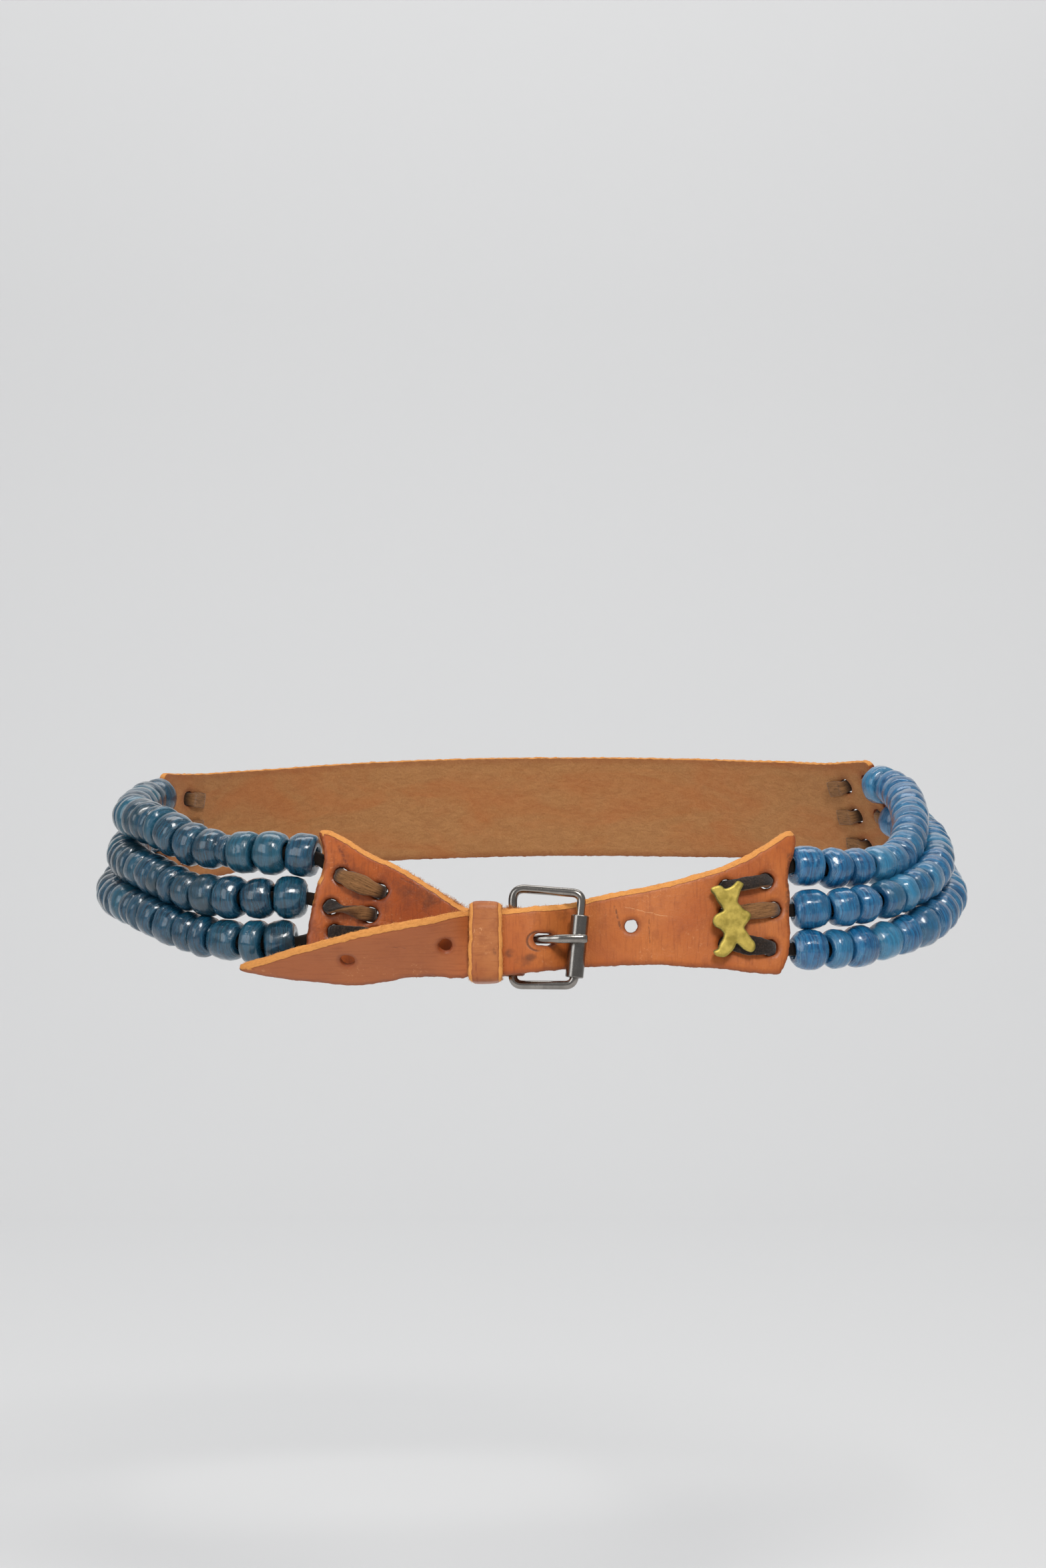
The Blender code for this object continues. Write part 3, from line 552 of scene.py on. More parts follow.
def evenSpots(ring, grid):
    # rows of spots over a ring's box, every other row half a step aside
    low, high = ring.min(0), ring.max(0)
    rowStep = grid * 0.866
    gridX, gridY = np.meshgrid(np.arange(low[0], high[0], grid), np.arange(low[1], high[1], rowStep))
    gridX[1::2] += grid / 2
    return np.stack([gridX.ravel(), gridY.ravel()], 1)


def triangles(spots, edges, rings):
    # triangles between the rings that all face up, and the new number of each spot
    made = delaunay_2d_cdt([Vector(s) for s in spots], edges, [], 0, 1e-5, True)
    flat = np.array([tuple(v) for v in made[0]])
    faces = np.array([f for f in made[2] if len(f) == 3])
    faces = faces[insideRings(flat[faces].mean(1), rings)]
    a, b, c = (flat[faces[:, i]] for i in range(3))
    turned = (b[:, 0] - a[:, 0]) * (c[:, 1] - a[:, 1]) - (b[:, 1] - a[:, 1]) * (c[:, 0] - a[:, 0]) < 0
    faces[turned] = faces[turned][:, ::-1]
    newIndex = np.zeros(len(spots), int)
    for i, sources in enumerate(made[3]):
        for source in sources:
            newIndex[source] = i
    return flat, faces, newIndex


def flatBlank(outline, holes, seed, sizes):
    # a piece of leather lying flat: two faces of even triangles and a rounded, rough cut edge
    grid, bevel = sizes.get("grid", cut["grid"]), sizes["bevel"]
    outline = eased(evenRing(outline, cut["edgeStep"]), cut["cornerTurns"])
    if ringArea(outline) < 0:
        outline = outline[::-1]
    rings = [outline] + [h[::-1] if ringArea(h) > 0 else h for h in holes]
    # no cut is quite true
    rings = [r + ringNormals(r) * (cut["wander"] * ripple(r[:, :1], r[:, 1:], 4.5, seed + 40)) for r in rings]
    normals = [ringNormals(r) for r in rings]
    inner = [r - n * cut["edgeRound"] for r, n in zip(rings, normals)]
    inside = evenSpots(rings[0], grid)
    inside = inside[insideRings(inside, inner)]
    rim = np.vstack(inner)
    near = kdtree.KDTree(len(rim))
    for i, spot in enumerate(rim):
        near.insert((*spot, 0), i)
    near.balance()
    gap = np.array([near.find((*spot, 0))[2] for spot in inside])
    inside = inside[gap > grid * 0.55]
    shares = [edgeShares(rings[0], normals[0], sizes["frays"], sizes.get("bothWays", False))]
    shares += [(np.zeros(len(ring)), np.zeros(len(ring))) for ring in rings[1:]]
    rimPale = np.concatenate([share[0] for share in shares])
    spots = np.vstack([rim, inside])
    edges, starts, first = [], [], 0
    for ring in inner:
        starts.append(first)
        edges += [(first + i, first + (i + 1) % len(ring)) for i in range(len(ring))]
        first += len(ring)
    madeSpots, faces, newIndex = triangles(spots, edges, inner)
    nearest = [near.find((*spot, 0)) for spot in madeSpots]
    rimAt = np.array([found[2] for found in nearest])
    paleAt = rimPale[[found[1] for found in nearest]]
    count = len(madeSpots)
    half = sizes.get("wall", cut["thickness"]) / 2
    # the knife was held slanting, so an upper edge shows in front as a pale strip
    top = np.column_stack([madeSpots, half - np.clip(bevel - rimAt, 0, bevel) * cut["slope"] * paleAt])
    under = np.column_stack([madeSpots, np.full(count, -half)])
    allFaces = [tuple(f) for f in faces] + [tuple(f[::-1] + count) for f in faces]
    flat, cutShare, rimShare = [top, under], [np.zeros(count), np.zeros(count)], [rimAt, rimAt]
    total = 2 * count
    furShare, paleShare = [np.zeros(count), np.zeros(count)], [paleAt, paleAt]
    source = np.random.default_rng(seed)
    rows = cut["edgeRows"]
    for ring, normal, start, (pale, fur) in zip(rings, normals, starts, shares):
        highest = half - bevel * cut["slope"] * pale
        size = len(ring)
        loops = [newIndex[start:start + size]]
        rough = source.normal(0, 1, (rows, size))
        rough = (rough + np.roll(rough, 1, 1) + np.roll(rough, -1, 1)) / 1.7
        for row in range(1, rows):
            across = 1 - 2 * row / rows
            bulge = cut["edgeRound"] * ((1 - abs(across) ** 3.5) - 1) + cut["edgeRough"] * rough[row]
            spot = ring + normal * bulge[:, None] if np.ndim(bulge) else ring + normal * bulge
            flat.append(np.column_stack([spot, highest - (highest + half) * row / rows]))
            cutShare.append(np.ones(size))
            rimShare.append(np.zeros(size))
            furShare.append(fur)
            paleShare.append(pale)
            loops.append(np.arange(total, total + size))
            total += size
        loops.append(newIndex[start:start + size] + count)
        for upper, lower in zip(loops, loops[1:]):
            for i in range(size):
                j = (i + 1) % size
                allFaces.append((int(upper[i]), int(lower[i]), int(lower[j]), int(upper[j])))
    flat = np.vstack(flat)
    marks = {"cut": cutShare, "rim": rimShare, "fur": furShare, "pale": paleShare}
    marks = {key: np.concatenate(value) for key, value in marks.items()}
    # a dished rim where each hole was punched, and a face that isn't quite flat
    for ring in rings[1:]:
        centre, radius = ring.mean(0), np.linalg.norm(ring - ring.mean(0), axis=1).max()
        far = np.linalg.norm(flat[:, :2] - centre, axis=1) - radius
        dip = np.clip(1 - np.maximum(far, 0) / cut["dishReach"], 0, 1) ** 2 * cut["holeDish"]
        flat[:, 2] -= dip * (flat[:, 2] > 0)
    lift = cut["wave"] * ripple(flat[:, 0], flat[:, 1], cut["waveSize"], seed + 1)
    return flat, allFaces, marks, lift


def squared(wave, power):
    # a sine or cosine with flatter sides
    return np.sign(wave) * abs(wave) ** power


def sweptFaces(count, sides, first=0, closed=False, turned=False):
    # quads between rings of points, and a cap at each end unless the sweep meets itself
    faces = []
    for i in range(count if closed else count - 1):
        here, ahead = first + i * sides, first + (i + 1) % count * sides
        for j in range(sides):
            k = (j + 1) % sides
            rest = (here + k, ahead + k, ahead + j)
            faces.append((here + j, *(rest[::-1] if turned else rest)))
    if not closed:
        ends = [tuple(range(start, start + sides)) for start in (first, first + (count - 1) * sides)]
        ends[turned] = ends[turned][::-1]
        faces += ends
    return faces


def meshPiece(name, points, faces, material=None, attributes=None):
    mesh = bpy.data.meshes.new(name)
    mesh.from_pydata([tuple(p) for p in points], [], [tuple(int(i) for i in f) for f in faces])
    for key, value in (attributes or {}).items():
        value = np.asarray(value, np.float32)
        kind = "FLOAT_VECTOR" if value.ndim == 2 else "FLOAT"
        layer = mesh.attributes.new(key, kind, "POINT")
        layer.data.foreach_set("vector" if value.ndim == 2 else "value", value.ravel())
    mesh.shade_smooth()
    if material:
        mesh.materials.append(material)
    piece = bpy.data.objects.new(name, mesh)
    bpy.context.scene.collection.objects.link(piece)
    return piece


def leatherPiece(name, outline, holes, bend, material, seed, sizes):
    flat, faces, marks, lift = flatBlank(outline, holes, seed, sizes)
    raised = flat.copy()
    raised[:, 2] += lift
    return meshPiece(name, bend(raised), faces, material, {"flat": flat * mm, **marks})


def edgesBetween(rows, start, stop, step=0.6):
    alongs = np.linspace(start, stop, max(2, int(abs(stop - start) / step)))
    upper = np.column_stack([alongs, smoothColumn(rows, 1)(alongs)])
    lower = np.column_stack([alongs, smoothColumn(rows, 2)(alongs)])
    return upper, lower


def roundHole(along, height, radius, halfLength=None):
    turns = np.linspace(0, math.tau, cut["holeSides"], endpoint=False)
    stretched = (halfLength or radius) - radius
    x = along + radius * np.cos(turns) + stretched * np.tanh(3 * np.cos(turns))
    return np.column_stack([x, height + radius * np.sin(turns)])


thong = {
    "thickness": 1.2,
    "puffed": 2.3,
    "inHole": 2.4,
    "fillsHole": 4.3,
    "inBeads": 2.6,
    "gap": 0.45,
    "width": 5.9,
    "widthInHole": 4.8,
    "widthInBeads": 4.3,
    "punch": 2.7,
    "tail": 9.0,
    "tailBend": 3.0,
    "slant": 1.5,
}

thongHoles = {
    # inner hole and outer hole, each along and height
    ("right", "top"): ((66.0, -5.2), (80.3, -3.0)),
    ("right", "middle"): ((66.0, -14.4), (83.0, -12.8)),
    ("right", "bottom"): ((66.0, -24.2), (81.7, -25.7)),
    ("left", "top"): ((-51.8, -6.4), (-65.0, -1.1)),
    ("left", "middle"): ((-55.0, -14.2), (-68.7, -11.6)),
    ("left", "bottom"): ((-53.6, -21.4), (-67.3, -20.2)),
}


def tabHoles(side):
    return [roundHole(*spot, thong["punch"]) for row in rowNames for spot in thongHoles[side, row]]


# the right tab and its strap

billet = {
    "rows": (
        # along, top, bottom, out, lean away from the body in degrees
        (-97.2, -32.2, -34.0, 9.8, 40),
        (-93.8, -31.1, -34.8, 10.0, 40),
        (-87.6, -29.1, -36.1, 10.2, 40),
        (-78.6, -25.9, -37.7, 10.6, 40),
        (-69.2, -22.9, -39.1, 11.0, 40),
        (-60, -19.8, -40.4, 11.4, 40),
        (-50, -17.2, -39.5, 11.4, 40),
        (-40, -15.2, -37.6, 11.2, 40),
        (-32, -14.1, -36.5, 10.0, 34),
        (-26, -13.7, -36.1, 8.0, 17),
        (-21, -13.4, -35.2, 6.2, 0),
        (-15, -13.2, -34.9, 6.2, 0),
        (-9, -12.9, -34.7, 7.0, 0),
        (-4, -12.4, -34.4, 7.8, 0),
        (0, -12.0, -33.9, 7.9, 0),
        (4, -11.6, -33.4, 6.2, 0),
        (8, -11.1, -32.9, 2.8, 0),
        (12, -10.6, -32.2, -0.3, 0),
        (16, -9.5, -31.8, -1.2, 0),
        (23, -7.7, -31.5, -0.7, 0),
        (33.5, -5.7, -31.0, 0, 0),
        (44, -3.7, -31.0, 0, 0),
        (54.4, -1.0, -31.8, 0, 0),
        (65, 2.1, -32.4, 0, 0),
        (76, 7.0, -33.9, 0, 0),
        (86, 12.6, -34.6, 0, 0),
    ),
    "endEdge": ((88.6, 14.2), (90.8, 14.0), (91.6, 11.6), (90.6, 6.0), (88.7, 1.9), (88.2, -3.5),
                (89.0, -8.0), (88.4, -13.3), (88.9, -19.2), (88.5, -27.0), (87.4, -31.6), (85.4, -34.2)),
    "holes": (
        # along, height, half length
        (33.5, -18.0, 2.2),
        (3.7, -22.8, 3.3),
        (-28.6, -24.8, 2.2),
        (-60.0, -30.0, 2.2),
    ),
    "holeRadius": 2.2,
    "rivet": (69.6, -19.3, 1.5),
    "bevel": 1.3,
    "frays": ((-97, 0.5), (-30, 0.6), (-22, 0.8), (-4, 0.5), (16, 0.15), (30, 0.04), (90, 0.02)),
    "look": {
        # painted shade on the loose end, which faces downward
        "shadedBelow": srgb(166, 95, 54),
        "hangsBefore": -26.0,
        "mottle": 0.3,
        "lines": (
            # start, end, half width, colour, strength
            ((27.8, -11.4), (30.0, -19.0), 0.34, "stain", 0.6),
            ((39.4, -15.0), (39.6, -24.0), 0.16, "stain", 0.55),
            ((31.0, -11.6), (47.0, -15.2), 0.12, "scratch", 0.7),
            ((41.0, -27.0), (48.0, -27.6), 0.5, "light", 0.5),
            ((22.0, -8.2), (44.0, -5.0), 0.4, "stain", 0.25),
            ((-47.0, -24.0), (-41.0, -25.0), 0.14, "stain", 0.4),
            ((89.2, 6.0), (88.4, -14.0), 1.5, "stain", 0.6),
            ((88.4, -14.0), (88.9, -21.0), 1.0, "dark", 0.6),
        ),
        "spots": (
            # centre, radius, strength
            ((-6.9, -27.6), 2.0, 0.55),
            ((-0.6, -29.0), 1.8, 0.55),
            ((-3.5, -31.0), 3.4, 0.3),
            ((10.0, -14.0), 3.0, 0.35),
        ),
        "rings": (((1.6, -23.6), 3.2, 0.7),),
    },
}


def softCurve(before, here, there, after, t):
    # a place between two points, led by the one before and the one after
    return 0.5 * (2 * here + (there - before) * t + (2 * before - 5 * here + 4 * there - after) * t ** 2
                  + (3 * here - before - 3 * there + after) * t ** 3)


def throughTable(ends, count=6):
    # a soft curve through a few edge points
    ends = np.asarray(ends, float)
    at = np.linspace(0, len(ends) - 1, (len(ends) - 1) * count + 1)
    i = np.minimum(at.astype(int), len(ends) - 2)
    t = (at - i)[:, None]
    before, after = ends[np.maximum(i - 1, 0)], ends[np.minimum(i + 2, len(ends) - 1)]
    return softCurve(before, ends[i], ends[i + 1], after, t)


def bendBillet(flat):
    top, bottom, out, lean = (smoothColumn(billet["rows"], i) for i in (1, 2, 3, 4))
    along, height, through = flat.T
    centre = (top(along) + bottom(along)) / 2
    tip = np.radians(np.maximum(lean(along), 0))
    above = (height - centre) * np.cos(tip) - through * np.sin(tip)
    outside = (height - centre) * np.sin(tip) + through * np.cos(tip)
    rise = np.arctan(out(along + 0.5) - out(along - 0.5)) * (tip <= math.radians(1))
    return place(along - outside * np.sin(rise), centre + above, out(along) + outside * np.cos(rise))


def makeBillet():
    low, high = billet["rows"][0][0], billet["rows"][-1][0]
    upper, lower = edgesBetween(billet["rows"], low, high)
    outline = np.vstack([upper, throughTable(billet["endEdge"]), lower[::-1]])
    holes = [roundHole(a, h, billet["holeRadius"], half) for a, h, half in billet["holes"]]
    holes += tabHoles("right") + [roundHole(*billet["rivet"])]
    finish = leatherFinish("billetLeather", billet["look"], billet["bevel"])
    piece = leatherPiece("billet_leather", outline, holes, bendBillet, finish, 3, billet)
    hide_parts("billet_strap")
    return piece


# the left tab, folded round the heel bar

buckleTab = {
    "rows": (
        # along, top, bottom; past the bar the same strip comes back behind itself
        (-70, 14.6, -34.6),
        (-64, 11.8, -34.6),
        (-55, 6.3, -34.7),
        (-47, 2.9, -34.8),
        (-39.5, -1.4, -34.9),
        (-32, -6.0, -34.9),
        (-27, -9.4, -34.8),
        (-22, -12.2, -34.6),
        (-6, -12.2, -34.6),
        (30, -12.2, -34.6),
    ),
    "endEdge": ((-77.8, -31.5), (-77.0, -20.0), (-74.0, -6.0), (-70.8, 4.6), (-73.2, 14.2)),
    "out": ((-80, 0.0), (-40, 0.0), (-28, 0.6), (-20, 2.3), (-14, 3.3), (-10, 3.9), (-6.4, 4.1)),
    "returnOut": ((-31, -2.6), (-20, -1.1), (-14, -0.8), (-10, -1.4), (-6.4, -2.3)),
    "returnEnd": -29.0,
    "bar": (-6.4, 0.9),
    "slot": (-13.5, 9.5, -22.8, 3.9),
    "foldSteps": 24,
    "bevel": 1.1,
    "frays": ((-80, 0.2), (-50, 0.35), (-38, 0.9), (-24, 1.6), (-6, 1.6), (0, 0.3)),
    "look": {
        "face": srgb(164, 76, 27),
        "dark": srgb(104, 42, 14),
        "light": srgb(186, 96, 38),
        "mottle": 0.5,
        "creases": 0.2,
        "scuffs": 0.6,
        "burnish": 0.55,
        "roughness": 0.38,
        "spots": (((-35.0, -9.0), 5.0, 0.45), ((-44.0, -6.0), 4.0, 0.25), ((-62.0, -27.0), 6.0, 0.3)),
        "lines": (
            ((-52.0, -16.5), (-40.0, -18.0), 0.5, "light", 0.6),
            ((-48.0, -19.6), (-40.0, -20.6), 0.4, "scratch", 0.5),
            ((-66.0, 9.0), (-60.0, -4.0), 0.5, "dark", 0.6),
            ((-45.0, -1.5), (-38.0, -5.5), 0.3, "stain", 0.5),
        ),
    },
}


def buckleTabPath():
    front, back = smoothColumn(buckleTab["out"], 1), smoothColumn(buckleTab["returnOut"], 1)
    barAlong, barOut = buckleTab["bar"]
    radius = float(front(barAlong)) - barOut
    ahead = [(a, float(front(a))) for a in np.linspace(-80, barAlong, 90)]
    turns = np.radians(90 - 180 * np.arange(1, buckleTab["foldSteps"]) / buckleTab["foldSteps"])
    fold = [(barAlong + radius * math.cos(t), barOut + radius * math.sin(t)) for t in turns]
    behind = [(a, float(back(a))) for a in np.linspace(barAlong, -31, 50)]
    path = np.array(ahead + fold + behind)
    lengths = lengthsAlong(path)
    lengths += barAlong - lengths[len(ahead) - 1]
    first = len(ahead) + len(fold)
    end = float(np.interp(buckleTab["returnEnd"], path[first:, 0][::-1], lengths[first:][::-1]))
    return path, lengths, end


def makeBuckleTab():
    path, lengths, end = buckleTabPath()
    upper, lower = edgesBetween(buckleTab["rows"], -70, end)
    outline = np.vstack([upper, lower[::-1], throughTable(buckleTab["endEdge"])])
    low, high, middle, width = buckleTab["slot"]
    slotHole = roundHole((low + high) / 2, middle, width / 2, (high - low) / 2)
    holes = [slotHole] + tabHoles("left")

    def read(length):
        return np.stack([np.interp(length, lengths, path[:, i]) for i in range(2)], -1)

    def bend(flat):
        length, height, through = flat.T
        spot = read(length)
        run = unit(read(length + 0.5) - read(length - 0.5))
        return place(spot[:, 0] - through * run[:, 1], height, spot[:, 1] + through * run[:, 0])

    finish = leatherFinish("buckleTabLeather", buckleTab["look"], buckleTab["bevel"])
    piece = leatherPiece("buckle_tab_leather", outline, holes, bend, finish, 5, buckleTab)
    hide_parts("buckle_strap")
    return piece


# the keeper, a strip bent round both straps and butted behind

keeper = {
    "along": (-20.8, -10.0),
    "wall": 1.7,
    "heights": (-37.3, -10.0),
    "outs": (-4.6, 10.6),
    "corner": 2.6,
    "seam": 0.25,
    "crown": 0.55,
    "grid": 0.9,
    "bevel": 0.7,
    "bothWays": True,
    "frays": ((0, 0.5), (100, 0.5)),
    "look": {
        "face": srgb(160, 86, 42),
        "light": srgb(184, 112, 60),
        "thin": True,
        "creases": 0.0,
        "scuffs": 0.7,
        "spots": (((52.0, -15.0), 3.0, 0.2),),
        "lines": (
            ((44.0, -18.5), (55.0, -17.6), 0.3, "dark", 0.5),
            ((40.0, -13.0), (42.0, -12.2), 0.4, "stain", 0.5),
        ),
    },
}


def keeperLoop():
    # the middle of the strip's thickness, from the seam behind, up and over, and back to it
    half = keeper["wall"] / 2
    lowOut, highOut = keeper["outs"][0] + half, keeper["outs"][1] - half
    low, high = keeper["heights"][0] + half, keeper["heights"][1] - half
    radius = keeper["corner"] - half
    corners = ((lowOut, high, 180, 90), (highOut, high, 90, 0),
               (highOut, low, 0, -90), (lowOut, low, -90, -180))
    points = [(lowOut, (low + high) / 2)]
    for out, height, start, stop in corners:
        centre = (out + (radius if out == lowOut else -radius),
                  height + (radius if height == low else -radius))
        for turn in np.radians(np.linspace(start, stop, 9)):
            points.append((centre[0] + radius * math.cos(turn), centre[1] + radius * math.sin(turn)))
    points.append(points[0])
    points = np.array(points)
    return points, lengthsAlong(points)


def makeKeeper():
    points, lengths = keeperLoop()
    low, high = keeper["along"]
    start, stop = keeper["seam"] / 2, lengths[-1] - keeper["seam"] / 2
    outline = np.array([(start, low), (stop, low), (stop, high), (start, high)])

    def read(length):
        return np.stack([np.interp(length, lengths, points[:, i]) for i in range(2)], -1)

    def bend(flat):
        # the strip's own length runs round the loop, and its face looks outwards
        length, along, through = flat.T
        spot = read(length)
        run = unit(read(length + 0.3) - read(length - 0.3))
        away = np.stack([run[:, 1], -run[:, 0]], 1) * -1
        middle = (low + high) / 2
        bowed = middle + (along - middle) * (1 + 0.03 * np.cos(length / 7.0))
        through = through - keeper["crown"] * abs((along - middle) / (high - middle)) ** 3
        return place(bowed, spot[:, 1] + away[:, 1] * through, spot[:, 0] + away[:, 0] * through)

    finish = leatherFinish("keeperLeather", keeper["look"], keeper["bevel"])
    piece = leatherPiece("keeper_leather", outline, [], bend, finish, 7, keeper)
    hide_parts("keeper")
    return piece


# the panel behind

panel = {
    "rows": (
        # along, top, bottom
        (259.5, 38.9, -4.6),
        (268, 38.8, -4.4),
        (285, 38.2, -1.8),
        (310, 38.8, 0.2),
        (360, 40.2, 1.0),
        (420, 40.5, 1.2),
        (480, 38.8, -0.6),
        (535, 35.4, -3.4),
        (565, 34.0, -7.4),
        (584, 34.0, -9.8),
        (592, 34.2, -10.0),
    ),
    "rightEdge": ((258, -3.2), (258.2, 10), (258.8, 25), (258, 37.6)),
    "leftEdge": ((594, 33.0), (593.8, 20), (593.4, 4), (594, -8.6)),
    "holesFromEdge": (7.5, 21.0),
    "grid": 1.5,
    "bevel": 0.5,
    "frays": ((250, 0.1), (600, 0.1)),
    "edges": {"right": 258.0, "left": -246.0},
    "look": {
        "scuffs": 0.5,
        "creases": 0.22,
        "spots": (((330.0, 12.0), 9.0, 0.25), ((470.0, 26.0), 12.0, 0.2), ((560.0, 8.0), 7.0, 0.3)),
        "lines": (
            ((352.0, 30.0), (383.0, 22.0), 0.15, "scratch", 0.6),
            ((500.0, 6.0), (509.0, 21.0), 0.2, "stain", 0.4),
            ((428.0, 10.0), (446.0, 7.0), 0.12, "scratch", 0.6),
            ((395.0, 33.0), (402.0, 18.0), 0.25, "dark", 0.6),
        ),
    },
}


def panelAlong(along):
    # the left end is counted from the right, all the way round
    return along + hips["roundMm"] if along < panel["edges"]["left"] else along


def panelHoles(side, row):
    direction = 1 if side == "right" else -1
    alongs = [panelAlong(panel["edges"][side] + direction * inset) for inset in panel["holesFromEdge"]]
    return [(along, float(rowHeight[row](along))) for along in alongs]


def makePanel():
    upper, lower = edgesBetween(panel["rows"], panel["rows"][0][0], panel["rows"][-1][0])
    outline = np.vstack([throughTable(panel["rightEdge"]), upper,
                         throughTable(panel["leftEdge"]), lower[::-1]])
    holes = []
    for side in ("right", "left"):
        for row in rowNames:
            holes += [roundHole(*spot, thong["punch"]) for spot in panelHoles(side, row)]
    finish = leatherFinish("panelLeather", panel["look"], panel["bevel"])
    bend = lambda flat: place(*flat.T)
    piece = leatherPiece("back_panel_leather", outline, holes, bend, finish, 9, panel)
    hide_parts("back_panel")
    return piece


# loose fibres on the cut edges

fuzz = {
    "perSquareMm": 26.0,
    "length": 0.85,
    "thickness": 0.028,
    "colour": srgb(238, 182, 112),
}


def fuzzFinish():
    f = Finish("cutEdgeFibres")
    tone = f.noise(f.object(), 900, 2)
    colour = f.mix(tone.between(0.3, 0.7), fuzz["colour"], leather["cutDark"])
    return f.set(colour=colour, roughness=0.85, specular=0.2)


def newGroup(name, inputs):
    # a Geometry Nodes group with its named inputs, and where each is read
    group = bpy.data.node_groups.new(name, "GeometryNodeTree")
    group.interface.new_socket("Geometry", in_out="INPUT", socket_type="NodeSocketGeometry")
    group.interface.new_socket("Geometry", in_out="OUTPUT", socket_type="NodeSocketGeometry")
    for key, value in inputs.items():
        kind = "NodeSocketInt" if isinstance(value, int) else "NodeSocketFloat"
        if isinstance(value, bpy.types.Material):
            kind = "NodeSocketMaterial"
        group.interface.new_socket(key, in_out="INPUT", socket_type=kind)
    tree = Tree(group)
    read = tree.add("NodeGroupInput")
    return group, tree, read


def runGroup(piece, group, inputs, name):
    # the modifier's inputs go in by identifier, and the result becomes a plain mesh of its own
    modifier = piece.modifiers.new(group.name, "NODES")
    modifier.node_group = group
    for item in group.interface.items_tree:
        if item.item_type == "SOCKET" and item.in_out == "INPUT" and item.name in inputs:
            modifier[item.identifier] = inputs[item.name]
    graph = bpy.context.evaluated_depsgraph_get()
    mesh = bpy.data.meshes.new_from_object(piece.evaluated_get(graph))
    mesh.name = name
    piece.modifiers.remove(modifier)
    made = bpy.data.objects.new(name, mesh)
    bpy.context.scene.collection.objects.link(made)
    return made


def fuzzGroup(inputs):
    group, tree, read = newGroup("edgeFibres", inputs)
    onEdge = tree.add("GeometryNodeInputNamedAttribute", {"data_type": "FLOAT"}, ["cut"])
    furry = tree.add("GeometryNodeInputNamedAttribute", {"data_type": "FLOAT"}, ["fur"])
    tufts = tree.add("ShaderNodeTexNoise", None, {"Scale": 700.0, "Detail": 2.0}).between(0.42, 0.62)
    spread = tree.add("GeometryNodeDistributePointsOnFaces", {"distribute_method": "RANDOM"}, {
        "Mesh": read, "Selection": onEdge.between(0.5, 0.9), "Seed": read.other("Seed"),
        "Density": read.other("Density") * furry * tufts})
    strand = tree.add("GeometryNodeCurveQuadraticBezier", None, {
        "Resolution": 3, "Start": (0, 0, -0.08), "Middle": (0.06, 0, 0.55), "End": (0.42, 0, 0.95)})
    taper = tree.add("GeometryNodeSplineParameter")
    strand = tree.add("GeometryNodeSetCurveRadius", None, {"Curve": strand, "Radius": 1.0 - taper * 0.75})
    section = tree.add("GeometryNodeCurvePrimitiveCircle", None, {
        "Resolution": 3, "Radius": read.other("Thickness")})
    strand = tree.add("GeometryNodeCurveToMesh", None, {
        "Curve": strand, "Profile Curve": section, "Fill Caps": True})
    lean = tree.add("FunctionNodeRandomValue", {"data_type": "FLOAT_VECTOR"}, {
        "Min": (-1.1, -1.1, -3.14), "Max": (1.1, 1.1, 3.14), "Seed": read.other("Seed")})
    lean = tree.add("FunctionNodeEulerToRotation", None, [lean])
    turned = tree.add("FunctionNodeRotateRotation", {"rotation_space": "LOCAL"}, [
        spread.other("Rotation"), lean])
    size = tree.add("FunctionNodeRandomValue", {"data_type": "FLOAT"}, {
        2: 0.4, 3: 1.0, "Seed": read.other("Seed")}, 1)
    size = size * size * size + 0.15
    placed = tree.add("GeometryNodeInstanceOnPoints", None, {
        "Points": spread, "Instance": strand, "Rotation": turned,
        "Scale": size * read.other("Length") * (0.55 + furry * 0.6)})
    real = tree.add("GeometryNodeRealizeInstances", None, {"Geometry": placed})
    done = tree.add("GeometryNodeSetMaterial", None, {"Geometry": real, "Material": read.other("Material")})
    tree.add("NodeGroupOutput", None, [done])
    return group


def makeFuzz(pieces):
    inputs = {"Density": fuzz["perSquareMm"] * 1e6, "Length": fuzz["length"] * mm,
              "Thickness": fuzz["thickness"] / fuzz["length"], "Seed": 4, "Material": fuzzFinish()}
    group = fuzzGroup(inputs)
    return [runGroup(piece, group, inputs, piece.name.replace("leather", "fibres")) for piece in pieces]


# strings of wound glass beads

